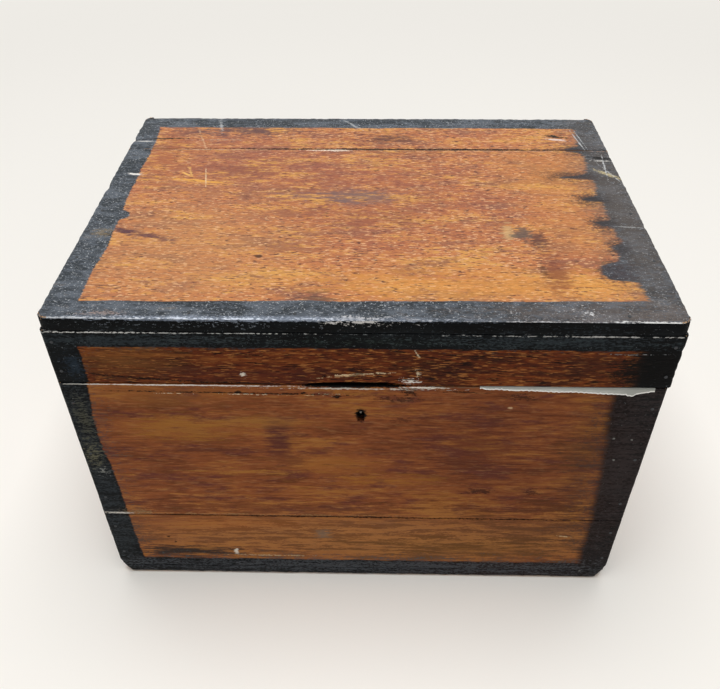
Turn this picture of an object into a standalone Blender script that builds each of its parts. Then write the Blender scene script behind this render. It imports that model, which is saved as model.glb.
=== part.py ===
"""Wooden chest with a hinged lid: a boarded case, a boarded lid, two butt hinges and a box lock.

Metres, +Z up. The front is at -Y and +X runs along the front to the right.
The origin is the middle of the underside, below the middle of the lid.
"""

import math

import bmesh
import bpy
from mathutils import Vector

# Outside of the chest
CHEST_LENGTH = 0.460
CHEST_DEPTH = 0.337
CASE_HEIGHT = 0.247
LID_RAIL_HEIGHT = 0.0495
LID_OVERHANG = 0.002

# Boards
WALL_THICKNESS = 0.014
TOP_THICKNESS = 0.0115
FLOOR_THICKNESS = 0.0115
LOWER_BOARD_TOP = 0.088
REAR_TOP_BOARD_WIDTH = 0.072
REAR_FLOOR_BOARD_WIDTH = 0.150
REBATE_DEPTH = 0.008
TOP_CORNER_RADIUS = 0.008
FLOOR_CORNER_RADIUS = 0.009
WALL_CORNER_RADIUS = 0.003
ARRIS_WIDTH = 0.0012

# Clearances
FIT_GAP = 0.0003
SEAM_GAP = 0.0009
CUT_OVERRUN = 0.002
WELD_DISTANCE = 0.00001

# Butt hinges on the back, each with its middle set in from the end of the chest
HINGE_INSET = 0.090
HINGE_LENGTH = 0.050
LEAF_THICKNESS = 0.0015
LEAF_REACH = 0.011
BARREL_RADIUS = 0.003
HINGE_PIN_RADIUS = 0.0015
HINGE_PIN_HEAD_RADIUS = 0.0024
HINGE_PIN_HEAD_LENGTH = 0.0012
KNUCKLES = 5
HINGE_SCREWS = 3
HINGE_SCREW_PITCH = 0.017

# Wood screws
SCREW_RADIUS = 0.0012
SCREW_HEAD_RADIUS = 0.0024
SCREW_HEAD_DEPTH = 0.0013
SCREW_LENGTH = 0.009
SCREW_SLOT_WIDTH = 0.0006
SCREW_SLOT_DEPTH = 0.0006

# Keyhole in the front
KEYHOLE_DROP = 0.030
KEYHOLE_RADIUS = 0.0032
KEYHOLE_SLOT_WIDTH = 0.0050
KEYHOLE_SLOT_DROP = 0.0076

# Lock plate, one piece with the selvage that lies in the rim
LOCK_PLATE_WIDTH = 0.080
LOCK_PLATE_HEIGHT = 0.050
LOCK_PLATE_THICKNESS = 0.0015
SELVAGE_REACH = 0.0090
LOCK_SCREW_INSET = 0.004
LOCK_SCREW_DROP = 0.0085

# Cap that boxes in the works
CAP_WIDTH = 0.064
CAP_HEIGHT = 0.0445
CAP_DEPTH = 0.0082
CAP_WALL = 0.0012

# Bolt, in the plane of the front
BOLT_TRAVEL = 0.006
BOLT_THICKNESS = 0.003
BOLT_SETBACK = 0.0023
BOLT_BAR_DROP = 0.012
BOLT_BAR_HEIGHT = 0.006
BOLT_BAR_TAIL = 0.006
BEAK_DROP = 0.005
BEAK_HEIGHT = 0.003
BEAK_STANDOFF = 0.0008
BEAK_POST_WIDTH = 0.0035
TAIL_WIDTH = 0.016
TAIL_HEIGHT = 0.0065
TALON_WIDTH = 0.007
TALON_HEIGHT = 0.004

# Studs that guide the bolt, and the pin that a hollow key turns on
STUD_SPACING = 0.020
STUD_RADIUS = 0.0012
STUD_SHOULDER_RADIUS = 0.0022
RIVET_HEAD_RADIUS = 0.0022
RIVET_HEAD_HEIGHT = 0.0008
DRILL_PIN_RADIUS = 0.00125
DRILL_PIN_RECESS = 0.002

# Link plate under the lid, with the tongues that the bolt catches
LINK_PLATE_LENGTH = 0.074
LINK_PLATE_WIDTH = 0.0080
LINK_PLATE_THICKNESS = 0.0015
LINK_SCREW_INSET = 0.006
TONGUE_SPACING = 0.032
TONGUE_THICKNESS = 0.0025
TONGUE_WIDTH = 0.0056
TONGUE_DROP = 0.0105
TONGUE_CLEARANCE = 0.0005
EYE_CLEARANCE = 0.0004

# Leaf spring under the bolt
SPRING_THICKNESS = 0.0006
SPRING_WIDTH = 0.003
SPRING_FOOT_LENGTH = 0.008
SPRING_REACH = 0.016
SPRING_TIP_LENGTH = 0.004
SPRING_TIP_FALL = 0.0015

# Paper lining that is folded over the front rim on the right
PAPER_THICKNESS = 0.0002
PAPER_LEFT = 0.088
PAPER_RIGHT_INSET = 0.008
PAPER_WALL_GAP = 0.0015
PAPER_INSIDE_DROP = 0.120
PAPER_TORN_DROP = 0.0095

ROUND_STEPS = 24
SCREW_STEPS = 12
CORNER_STEPS = 5
ARRIS_SEGMENTS = 2
SPRING_STATIONS = 9

# Levels and faces that several pieces share
LID_UNDERSIDE = CASE_HEIGHT + SEAM_GAP
RAIL_TOP = LID_UNDERSIDE + LID_RAIL_HEIGHT
LEFT_FACE = -CHEST_LENGTH / 2
LID_RIGHT_FACE = CHEST_LENGTH / 2
CASE_RIGHT_FACE = LID_RIGHT_FACE - LID_OVERHANG
FRONT_FACE = -CHEST_DEPTH / 2
BACK_FACE = CHEST_DEPTH / 2
FRONT_INNER_FACE = FRONT_FACE + WALL_THICKNESS
HINGE_AXIS_Y = BACK_FACE + BARREL_RADIUS + FIT_GAP
HINGE_AXIS_Z = CASE_HEIGHT + SEAM_GAP / 2
LOCK_X = (LEFT_FACE + CASE_RIGHT_FACE) / 2
KEYHOLE_Z = CASE_HEIGHT - KEYHOLE_DROP
BOLT_Y = FRONT_INNER_FACE - BOLT_SETBACK - BOLT_THICKNESS / 2
BOLT_Z = CASE_HEIGHT - BOLT_BAR_DROP - BOLT_BAR_HEIGHT / 2

# How a shape drawn in X and Y, with its thickness along Z, is stood along each axis
STAND_ALONG = {
    "X": lambda co: (co.z, co.x, co.y),
    "Y": lambda co: (co.x, -co.z, co.y),
    "Z": lambda co: (co.x, co.y, co.z),
}


def clear_scene():
    """Remove whatever the file opened with."""
    for obj in list(bpy.data.objects):
        bpy.data.objects.remove(obj)


def new_collection(name):
    """A collection linked to the scene."""
    collection = bpy.data.collections.new(name)
    bpy.context.scene.collection.children.link(collection)
    return collection


def new_material(name, colour, roughness, metallic):
    """A Principled material with one colour."""
    material = bpy.data.materials.new(name)
    material.use_nodes = True
    shader = material.node_tree.nodes["Principled BSDF"]
    shader.inputs["Base Color"].default_value = (*colour, 1.0)
    shader.inputs["Roughness"].default_value = roughness
    shader.inputs["Metallic"].default_value = metallic
    material.diffuse_color = (*colour, 1.0)
    return material


clear_scene()
PIECES = new_collection("wooden_chest")
CUTTERS = new_collection("cutters")
VARNISHED_WOOD = new_material("varnished_wood", (0.30, 0.11, 0.035), 0.5, 0.0)
BLACK_IRON = new_material("black_iron", (0.045, 0.042, 0.040), 0.55, 0.9)
STEEL = new_material("worn_steel", (0.32, 0.31, 0.29), 0.4, 1.0)
PAPER = new_material("lining_paper", (0.72, 0.70, 0.65), 0.9, 0.0)


def new_pivot(name, location):
    """An empty that stands on a joint's axis and carries the pieces that move with it."""
    pivot = bpy.data.objects.new(name, None)
    pivot.location = location
    PIECES.objects.link(pivot)
    return pivot


def new_object(name, mesh, location, material, parent=None):
    """A piece of the chest, or a cutter when it has no material."""
    obj = bpy.data.objects.new(name, mesh)
    obj.parent = parent
    obj.location = Vector(location) - (parent.location if parent else Vector())
    if material:
        mesh.materials.append(material)
        PIECES.objects.link(obj)
    else:
        obj.hide_render = True
        obj.display_type = "WIRE"
        CUTTERS.objects.link(obj)
    return obj


def mesh_of(bm, name):
    """Turn a bmesh into a mesh."""
    mesh = bpy.data.meshes.new(name)
    bm.to_mesh(mesh)
    bm.free()
    return mesh


def box_mesh(name, low, high, origin):
    """A box between two corners, seen from an origin."""
    low, high = Vector(low), Vector(high)
    bm = bmesh.new()
    bmesh.ops.create_cube(bm, size=1.0)
    bmesh.ops.scale(bm, vec=high - low, verts=bm.verts)
    bmesh.ops.translate(bm, vec=(low + high) / 2 - Vector(origin), verts=bm.verts)
    return mesh_of(bm, name)


def box(name, low, high, material=None, parent=None):
    """A box between two corners, with its origin in its middle."""
    middle = (Vector(low) + Vector(high)) / 2
    return new_object(name, box_mesh(name, low, high, middle), middle, material, parent)


def cylinder(name, radius, low, high, axis, material=None, parent=None):
    """A round bar between two points that lie along one axis."""
    low, high = Vector(low), Vector(high)
    bm = bmesh.new()
    bmesh.ops.create_cone(
        bm,
        cap_ends=True,
        segments=ROUND_STEPS,
        radius1=radius,
        radius2=radius,
        depth=(high - low).length,
    )
    for vert in bm.verts:
        vert.co = STAND_ALONG[axis](vert.co)
    return new_object(name, mesh_of(bm, name), (low + high) / 2, material, parent)


def flat_piece(name, outlines, thickness, location, axis, material=None, parent=None):
    """A plate of even thickness. The first outline is its edge and the others are holes."""
    curve = bpy.data.curves.new(name, "CURVE")
    curve.dimensions = "2D"
    curve.fill_mode = "BOTH"
    curve.extrude = thickness / 2
    for outline in outlines:
        spline = curve.splines.new("POLY")
        spline.points.add(len(outline) - 1)
        for point, (across, up) in zip(spline.points, outline):
            point.co = (across, up, 0, 1)
        spline.use_cyclic_u = True
    drawn = bpy.data.objects.new(name + "_outline", curve)
    PIECES.objects.link(drawn)
    bpy.context.view_layer.update()
    graph = bpy.context.evaluated_depsgraph_get()
    filled = bpy.data.meshes.new_from_object(drawn.evaluated_get(graph))
    bpy.data.objects.remove(drawn)
    bm = bmesh.new()
    bm.from_mesh(filled)
    bpy.data.meshes.remove(filled)
    bmesh.ops.remove_doubles(bm, verts=bm.verts, dist=WELD_DISTANCE)
    if len(outlines) == 1:
        caps = [face for face in bm.faces if len(face.verts) == 3]
        bmesh.ops.delete(bm, geom=caps, context="FACES")
        bmesh.ops.holes_fill(bm, edges=bm.edges)
    for vert in bm.verts:
        vert.co = STAND_ALONG[axis](vert.co)
    bmesh.ops.recalc_face_normals(bm, faces=bm.faces)
    return new_object(name, mesh_of(bm, name), location, material, parent)


def turned(name, profile, steps, location, rotation, material=None, parent=None):
    """A turned piece. The profile runs from the axis, out and down, back to the axis."""
    bm = bmesh.new()
    verts = [bm.verts.new((radius, 0, height)) for radius, height in profile]
    for first, second in zip(verts, verts[1:]):
        bm.edges.new((first, second))
    obj = new_object(name, mesh_of(bm, name), location, material, parent)
    obj.rotation_euler = rotation
    screw = obj.modifiers.new("turning", "SCREW")
    screw.steps = steps
    screw.render_steps = steps
    screw.use_merge_vertices = True
    screw.merge_threshold = WELD_DISTANCE
    return obj


def strip(name, rows, thickness, material):
    """A thin strip through rows of points, one row for each place along it."""
    columns = len(rows[0])
    bm = bmesh.new()
    bmesh.ops.create_grid(bm, x_segments=columns - 1, y_segments=len(rows) - 1, size=1.0)
    bm.verts.ensure_lookup_table()
    for i, vert in enumerate(bm.verts):
        row, column = divmod(i, columns)
        vert.co = rows[row][column]
    bmesh.ops.recalc_face_normals(bm, faces=bm.faces)
    obj = new_object(name, mesh_of(bm, name), (0, 0, 0), material)
    solidify = obj.modifiers.new("thickness", "SOLIDIFY")
    solidify.thickness = thickness
    solidify.offset = 0
    solidify.use_even_offset = True
    return obj


def arc(centre, radius, start, end, steps):
    """Points along an arc, from one angle in degrees to another."""
    angles = [math.radians(start + (end - start) * i / steps) for i in range(steps + 1)]
    return [(centre[0] + radius * math.cos(a), centre[1] + radius * math.sin(a)) for a in angles]


def rectangle(left, bottom, right, top):
    """The outline of a rectangle."""
    return [(left, bottom), (right, bottom), (right, top), (left, top)]


def combine(obj, other, operation):
    """Join another object into this one, or cut it away."""
    boolean = obj.modifiers.new(other.name, "BOOLEAN")
    boolean.operation = operation
    boolean.solver = "EXACT"
    boolean.object = other


def cut(obj, cutter):
    """Cut one object by another."""
    combine(obj, cutter, "DIFFERENCE")


def soften(obj):
    """Take the sharp arrises off a board."""
    bevel = obj.modifiers.new("arrises", "BEVEL")
    bevel.width = ARRIS_WIDTH
    bevel.segments = ARRIS_SEGMENTS
    bevel.limit_method = "ANGLE"
    return obj


def shade_round(obj):
    """Shade the round sides smooth and keep the edges sharp."""
    obj.data.shade_smooth()
    obj.data.set_sharp_from_angle(angle=math.radians(40))
    return obj


# Boards


def outer_corners(half_length, half_width, radius):
    """The right and left outer corners of a board, from right to left, as two arcs."""
    across, up = half_length - radius, half_width - radius
    right = arc((across, up), radius, 0, 90, CORNER_STEPS)
    left = arc((-across, up), radius, 90, 180, CORNER_STEPS)
    return right + left


def plan_board(name, outline, low, high, side, parent=None):
    """A board drawn in plan. The outline is for the back, and side -1 turns it for the front."""
    middle = (Vector(low) + Vector(high)) / 2
    faced = [(side * x, side * y) for x, y in outline]
    height = high[2] - low[2]
    return soften(flat_piece(name, [faced], height, middle, "Z", VARNISHED_WOOD, parent))


def lying_board(name, low, high, side, radius, parent=None):
    """A board of the top or the floor, with its two outer corners rounded."""
    half_length, half_width = (high[0] - low[0]) / 2, (high[1] - low[1]) / 2
    outline = outer_corners(half_length, half_width, radius)
    outline += [(-half_length, -half_width), (half_length, -half_width)]
    return plan_board(name, outline, low, high, side, parent)


def long_board(name, left, right, bottom, top, side, parent=None):
    """A front or back board. Its ends are rebated on the inside for the side boards."""
    outer, inner = side * BACK_FACE, side * (BACK_FACE - WALL_THICKNESS)
    low, high = (left, min(outer, inner), bottom), (right, max(outer, inner), top)
    half_length, half_width = (right - left) / 2, WALL_THICKNESS / 2
    notch = half_length - WALL_THICKNESS - FIT_GAP
    shoulder = REBATE_DEPTH - half_width
    outline = outer_corners(half_length, half_width, WALL_CORNER_RADIUS)
    outline += [(-half_length, shoulder), (-notch, shoulder), (-notch, -half_width)]
    outline += [(notch, -half_width), (notch, shoulder), (half_length, shoulder)]
    return plan_board(name, outline, low, high, side, parent)


def side_board(name, outer, inward, bottom, top, parent=None):
    """A side board, seated in the rebates. inward is 1 on the left and -1 on the right."""
    inner = outer + inward * WALL_THICKNESS
    end = BACK_FACE - WALL_THICKNESS + REBATE_DEPTH - FIT_GAP
    low = (min(outer, inner), -end, bottom)
    high = (max(outer, inner), end, top)
    return soften(box(name, low, high, VARNISHED_WOOD, parent))


def ring_of_boards(names, left, right, bottom, top, parent=None):
    """Boards round a case or a lid, named front, back, left and right. Returns the first two."""
    front = long_board(names[0], left, right, bottom, top, -1, parent)
    back = long_board(names[1], left, right, bottom, top, 1, parent)
    side_board(names[2], left, 1, bottom, top, parent)
    side_board(names[3], right, -1, bottom, top, parent)
    return front, back


def case():
    """The case: two floor boards and two rings of walls. Returns the upper front and back."""
    split = BACK_FACE - REAR_FLOOR_BOARD_WIDTH
    lying_board(
        "floor_front_board",
        (LEFT_FACE, FRONT_FACE, 0),
        (CASE_RIGHT_FACE, split - FIT_GAP, FLOOR_THICKNESS),
        -1,
        FLOOR_CORNER_RADIUS,
    )
    lying_board(
        "floor_rear_board",
        (LEFT_FACE, split, 0),
        (CASE_RIGHT_FACE, BACK_FACE, FLOOR_THICKNESS),
        1,
        FLOOR_CORNER_RADIUS,
    )
    sides = ("front", "back", "left", "right")
    lower = [f"{side}_lower_board" for side in sides]
    upper = [f"{side}_upper_board" for side in sides]
    foot = FLOOR_THICKNESS + FIT_GAP
    ring_of_boards(lower, LEFT_FACE, CASE_RIGHT_FACE, foot, LOWER_BOARD_TOP)
    joint = LOWER_BOARD_TOP + FIT_GAP
    return ring_of_boards(upper, LEFT_FACE, CASE_RIGHT_FACE, joint, CASE_HEIGHT)


def lid(pivot):
    """The lid: four rails and two top boards. Returns the front and back rails."""
    names = ("lid_front_rail", "lid_back_rail", "lid_left_rail", "lid_right_rail")
    rails = ring_of_boards(names, LEFT_FACE, LID_RIGHT_FACE, LID_UNDERSIDE, RAIL_TOP, pivot)
    foot = RAIL_TOP + FIT_GAP
    split = BACK_FACE - REAR_TOP_BOARD_WIDTH
    lying_board(
        "lid_top_front_board",
        (LEFT_FACE, FRONT_FACE, foot),
        (LID_RIGHT_FACE, split - FIT_GAP, foot + TOP_THICKNESS),
        -1,
        TOP_CORNER_RADIUS,
        pivot,
    )
    lying_board(
        "lid_top_rear_board",
        (LEFT_FACE, split, foot),
        (LID_RIGHT_FACE, BACK_FACE, foot + TOP_THICKNESS),
        1,
        TOP_CORNER_RADIUS,
        pivot,
    )
    return rails


# Wood screws


def screw_hole(name, location, rotation, parent):
    """The cutter for a countersunk screw, a clearance wider and longer than the screw."""
    shank, head = SCREW_RADIUS + FIT_GAP, SCREW_HEAD_RADIUS + FIT_GAP
    profile = [
        (0, CUT_OVERRUN),
        (head, CUT_OVERRUN),
        (head, -FIT_GAP),
        (shank, -SCREW_HEAD_DEPTH - FIT_GAP),
        (shank, -SCREW_LENGTH - FIT_GAP),
        (0, -SCREW_LENGTH - FIT_GAP),
    ]
    return turned(name + "_hole", profile, SCREW_STEPS, location, rotation, None, parent)


def wood_screw(name, location, rotation, through, parent=None):
    """A slotted countersunk screw, and its hole in each piece that it goes through."""
    hole = screw_hole(name, location, rotation, parent)
    for piece in through:
        cut(piece, hole)
    profile = [
        (0, 0),
        (SCREW_HEAD_RADIUS, 0),
        (SCREW_HEAD_RADIUS, -FIT_GAP),
        (SCREW_RADIUS, -SCREW_HEAD_DEPTH),
        (SCREW_RADIUS, SCREW_RADIUS - SCREW_LENGTH),
        (0, -SCREW_LENGTH),
    ]
    screw = turned(name, profile, SCREW_STEPS, location, rotation, STEEL, parent)
    reach = SCREW_HEAD_RADIUS + CUT_OVERRUN
    low = (-reach, -SCREW_SLOT_WIDTH / 2, -SCREW_SLOT_DEPTH)
    high = (reach, SCREW_SLOT_WIDTH / 2, CUT_OVERRUN)
    slot_mesh = box_mesh(name + "_slot", low, high, (0, 0, 0))
    slot = new_object(name + "_slot", slot_mesh, location, None, parent)
    slot.rotation_euler = rotation
    cut(screw, slot)
    return screw


# Hinges


def knuckle_span(centre, index):
    """The two ends of one knuckle along the barrel, with a gap between neighbours."""
    pitch = (HINGE_LENGTH + FIT_GAP) / KNUCKLES
    near = centre - HINGE_LENGTH / 2 + index * pitch
    return near, near + pitch - FIT_GAP


def leaf_section(up):
    """A leaf rolled round its pin, seen from the axis. up is 1 for the lid and -1 for the case."""
    near_face, far_face = SEAM_GAP / 2, SEAM_GAP / 2 + LEAF_THICKNESS
    near_turn = math.degrees(math.asin(near_face / BARREL_RADIUS))
    far_turn = math.degrees(math.asin(far_face / BARREL_RADIUS))
    inner_edge = BACK_FACE - LEAF_REACH - HINGE_AXIS_Y
    section = [(inner_edge, near_face), (inner_edge, far_face)]
    section += arc((0, 0), BARREL_RADIUS, 180 - far_turn, -180 - near_turn, ROUND_STEPS)
    return [(y, up * z) for y, z in section]


def hinge_leaf(name, centre, up, notches, board, parent=None):
    """One leaf with its knuckles, let into the board that carries it and screwed down."""
    wood_face = LID_UNDERSIDE if up > 0 else CASE_HEIGHT
    bore = arc((0, 0), HINGE_PIN_RADIUS + FIT_GAP, 0, 360, ROUND_STEPS)[:-1]
    at = (centre, HINGE_AXIS_Y, HINGE_AXIS_Z)
    outlines = [leaf_section(up), bore]
    leaf = flat_piece(name, outlines, HINGE_LENGTH, at, "X", BLACK_IRON, parent)
    swing = BARREL_RADIUS + FIT_GAP + CUT_OVERRUN
    for i in notches:
        near, far = knuckle_span(centre, i)
        notch = box(
            f"{name}_notch_{i + 1}",
            (near - FIT_GAP, BACK_FACE, HINGE_AXIS_Z - swing),
            (far + FIT_GAP, HINGE_AXIS_Y + swing, HINGE_AXIS_Z + swing),
            parent=parent,
        )
        cut(leaf, notch)
    levels = (wood_face - up * CUT_OVERRUN, wood_face + up * (LEAF_THICKNESS + FIT_GAP))
    half = HINGE_LENGTH / 2 + FIT_GAP
    mortise = box(
        name + "_mortise",
        (centre - half, BACK_FACE - LEAF_REACH - FIT_GAP, min(levels)),
        (centre + half, BACK_FACE + CUT_OVERRUN, max(levels)),
        parent=parent,
    )
    cut(board, mortise)
    turn = (math.pi if up > 0 else 0, 0, 0)
    stem = name.replace("leaf", "screw")
    for i in range(HINGE_SCREWS):
        across = centre + (i - (HINGE_SCREWS - 1) / 2) * HINGE_SCREW_PITCH
        seat = (across, BACK_FACE - LEAF_REACH / 2, wood_face)
        wood_screw(f"{stem}_{i + 1}", seat, turn, (leaf, board), parent)
    return leaf


def hinge_pin(name, centre):
    """The pin of one hinge, headed over at each end of the barrel."""
    shoulder = HINGE_LENGTH / 2 + FIT_GAP
    end = shoulder + HINGE_PIN_HEAD_LENGTH
    rim = shoulder + HINGE_PIN_HEAD_LENGTH / 2
    upper = [
        (0, end),
        (HINGE_PIN_RADIUS, end),
        (HINGE_PIN_HEAD_RADIUS, rim),
        (HINGE_PIN_HEAD_RADIUS, shoulder),
        (HINGE_PIN_RADIUS, shoulder),
    ]
    profile = upper + [(radius, -height) for radius, height in reversed(upper)]
    at = (centre, HINGE_AXIS_Y, HINGE_AXIS_Z)
    turn = (0, math.pi / 2, 0)
    return shade_round(turned(name, profile, ROUND_STEPS, at, turn, STEEL))


def hinges(case_back, lid_back, lid_pivot):
    """Two butt hinges: the case leaf has the odd knuckles and the lid leaf the even ones."""
    odd, even = range(0, KNUCKLES, 2), range(1, KNUCKLES, 2)
    for side, name in ((-1, "left_hinge"), (1, "right_hinge")):
        centre = side * (LID_RIGHT_FACE - HINGE_INSET)
        hinge_leaf(name + "_case_leaf", centre, -1, even, case_back)
        hinge_leaf(name + "_lid_leaf", centre, 1, odd, lid_back, lid_pivot)
        hinge_pin(name + "_pin", centre)


# Lock


def upright(name, outlines, low_y, high_y, z, material=None, parent=None):
    """A flat piece that stands in the plane of the front, between two depths."""
    middle = (LOCK_X, (low_y + high_y) / 2, z)
    return flat_piece(name, outlines, high_y - low_y, middle, "Y", material, parent)


def keyhole(front_board, cap):
    """The keyhole through the front board and the cap: a round hole with a slot below it."""
    half = KEYHOLE_SLOT_WIDTH / 2
    meet = math.degrees(math.asin(half / KEYHOLE_RADIUS))
    outline = arc((0, 0), KEYHOLE_RADIUS, meet - 90, 270 - meet, ROUND_STEPS)
    outline += [(-half, -KEYHOLE_SLOT_DROP), (half, -KEYHOLE_SLOT_DROP)]
    mouth = FRONT_FACE - CUT_OVERRUN
    hole = upright("keyhole", [outline], mouth, FRONT_INNER_FACE, KEYHOLE_Z)
    cut(front_board, hole)
    cut(cap, hole)


def tongue_span(side):
    """The two ends along X of the link plate's left or right tongue."""
    middle = LOCK_X + side * TONGUE_SPACING / 2
    return middle - TONGUE_THICKNESS / 2, middle + TONGUE_THICKNESS / 2


def lock_plate(front_board):
    """The plate on the inner face, one piece with the selvage that is let into the rim."""
    back, under = FIT_GAP, -LOCK_PLATE_THICKNESS
    face = back + LOCK_PLATE_THICKNESS
    section = [(back, -LOCK_PLATE_HEIGHT), (face, -LOCK_PLATE_HEIGHT), (face, 0)]
    section += [(-SELVAGE_REACH, 0), (-SELVAGE_REACH, under), (back, under)]
    corner = (LOCK_X, FRONT_INNER_FACE, CASE_HEIGHT)
    plate = flat_piece("lock_plate", [section], LOCK_PLATE_WIDTH, corner, "X", BLACK_IRON)
    half = LOCK_PLATE_WIDTH / 2
    front_edge = FRONT_INNER_FACE - SELVAGE_REACH - FIT_GAP
    recess = box(
        "selvage_recess",
        (LOCK_X - half - FIT_GAP, front_edge, CASE_HEIGHT + under - FIT_GAP),
        (LOCK_X + half + FIT_GAP, FRONT_INNER_FACE + CUT_OVERRUN, CASE_HEIGHT + CUT_OVERRUN),
    )
    cut(front_board, recess)
    reach = TONGUE_WIDTH / 2 + TONGUE_CLEARANCE
    for side, name in ((-1, "left"), (1, "right")):
        near, far = tongue_span(side)
        slot = box(
            f"selvage_{name}_slot",
            (near - TONGUE_CLEARANCE, BOLT_Y - reach, CASE_HEIGHT + under - CUT_OVERRUN),
            (far + TONGUE_CLEARANCE, BOLT_Y + reach, CASE_HEIGHT + CUT_OVERRUN),
        )
        cut(plate, slot)
    inset = half - LOCK_SCREW_INSET
    foot = CASE_HEIGHT - LOCK_PLATE_HEIGHT + LOCK_SCREW_INSET
    seats = [(x, z) for z in (CASE_HEIGHT - LOCK_SCREW_DROP, foot) for x in (-inset, inset)]
    turn = (-math.pi / 2, 0, 0)
    for i, (x, z) in enumerate(seats):
        at = (LOCK_X + x, FRONT_INNER_FACE + face, z)
        wood_screw(f"lock_screw_{i + 1}", at, turn, (plate, front_board))
    return plate


def lock_cap(front_board):
    """The tray that boxes in the works. It is open to the plate and to the selvage."""
    half, front = CAP_WIDTH / 2, FRONT_INNER_FACE - CAP_DEPTH
    top, bottom = CASE_HEIGHT - LOCK_PLATE_THICKNESS - FIT_GAP, CASE_HEIGHT - CAP_HEIGHT
    cap = box(
        "lock_cap",
        (LOCK_X - half, front, bottom),
        (LOCK_X + half, FRONT_INNER_FACE, top),
        BLACK_IRON,
    )
    hollow = box(
        "lock_cap_hollow",
        (LOCK_X - half + CAP_WALL, front + CAP_WALL, bottom + CAP_WALL),
        (LOCK_X + half - CAP_WALL, FRONT_INNER_FACE + CUT_OVERRUN, top + CUT_OVERRUN),
    )
    cut(cap, hollow)
    mortise = box(
        "lock_mortise",
        (LOCK_X - half - FIT_GAP, front - FIT_GAP, bottom - FIT_GAP),
        (LOCK_X + half + FIT_GAP, FRONT_INNER_FACE + CUT_OVERRUN, CASE_HEIGHT + CUT_OVERRUN),
    )
    cut(front_board, mortise)
    return cap


def beak_outline(side):
    """The post and beak that catch one tongue, seen from the middle of the bolt's bar."""
    tip = tongue_span(side)[0] - BEAK_STANDOFF - LOCK_X
    post_right = tip + BEAK_STANDOFF - BOLT_TRAVEL - FIT_GAP
    post_left = post_right - BEAK_POST_WIDTH
    bar_top = BOLT_BAR_HEIGHT / 2
    beak_top = BOLT_BAR_DROP - BEAK_DROP + bar_top
    beak_foot = beak_top - BEAK_HEIGHT
    return [
        (post_right, bar_top),
        (post_right, beak_foot),
        (tip, beak_foot),
        (tip, beak_top),
        (post_left, beak_top),
        (post_left, bar_top),
    ]


def lock_bolt(pivot):
    """The sliding bolt: a bar with two beaks above it, and the talon that the key turns in."""
    bar, tail, talon = BOLT_BAR_HEIGHT / 2, TAIL_WIDTH / 2, TALON_WIDTH / 2
    left_beak, right_beak = beak_outline(-1), beak_outline(1)
    left_end, right_end = left_beak[-1][0], STUD_SPACING / 2 + BOLT_BAR_TAIL
    tail_foot = -bar - TAIL_HEIGHT
    talon_top = tail_foot + TALON_HEIGHT
    outline = [(left_end, -bar), (-tail, -bar), (-tail, tail_foot), (-talon, tail_foot)]
    outline += [(-talon, talon_top), (talon, talon_top), (talon, tail_foot), (tail, tail_foot)]
    outline += [(tail, -bar), (right_end, -bar), (right_end, bar)]
    outline += right_beak + left_beak[:-1]
    rise = STUD_RADIUS + FIT_GAP
    slots = [
        rectangle(at - rise - BOLT_TRAVEL, -rise, at + rise, rise)
        for at in (-STUD_SPACING / 2, STUD_SPACING / 2)
    ]
    near, far = BOLT_Y - BOLT_THICKNESS / 2, BOLT_Y + BOLT_THICKNESS / 2
    return upright("lock_bolt", [outline, *slots], near, far, BOLT_Z, STEEL, pivot)


def riveted_stud(name, shank, radius, x, z, plate):
    """A turned stud that points forwards, riveted through the lock plate.

    The shank's heights are depths from the inner face of the front, downwards from the head.
    """
    head = FIT_GAP + LOCK_PLATE_THICKNESS + FIT_GAP
    profile = [
        (0, head + RIVET_HEAD_HEIGHT),
        (RIVET_HEAD_RADIUS / 2, head + RIVET_HEAD_HEIGHT),
        (RIVET_HEAD_RADIUS, head),
        (radius, head),
        *shank,
    ]
    turn = (-math.pi / 2, 0, 0)
    shade_round(turned(name, profile, ROUND_STEPS, (x, FRONT_INNER_FACE, z), turn, STEEL))
    near, far = FRONT_INNER_FACE - CUT_OVERRUN, FRONT_INNER_FACE + head + CUT_OVERRUN
    hole = cylinder(name + "_hole", radius + FIT_GAP, (x, near, z), (x, far, z), "Y")
    cut(plate, hole)


def guide_studs(plate):
    """Two studs that carry the bolt, each with a shoulder between the plate and the bolt."""
    bolt_back = BOLT_Y + BOLT_THICKNESS / 2 - FRONT_INNER_FACE + FIT_GAP
    tip = BOLT_Y - BOLT_THICKNESS / 2 - FRONT_INNER_FACE - FIT_GAP
    shank = [
        (STUD_RADIUS, 0),
        (STUD_SHOULDER_RADIUS, 0),
        (STUD_SHOULDER_RADIUS, bolt_back),
        (STUD_RADIUS, bolt_back),
        (STUD_RADIUS, tip),
        (0, tip),
    ]
    for side, name in ((-1, "left"), (1, "right")):
        x = LOCK_X + side * STUD_SPACING / 2
        riveted_stud(f"bolt_guide_stud_{name}", shank, STUD_RADIUS, x, BOLT_Z, plate)


def drill_pin(plate):
    """The pin that the hollow key turns on. It ends just inside the mouth of the keyhole."""
    tip = FRONT_FACE + DRILL_PIN_RECESS - FRONT_INNER_FACE
    shank = [
        (DRILL_PIN_RADIUS, tip + DRILL_PIN_RADIUS / 2),
        (DRILL_PIN_RADIUS / 2, tip),
        (0, tip),
    ]
    riveted_stud("lock_drill_pin", shank, DRILL_PIN_RADIUS, LOCK_X, KEYHOLE_Z, plate)


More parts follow.
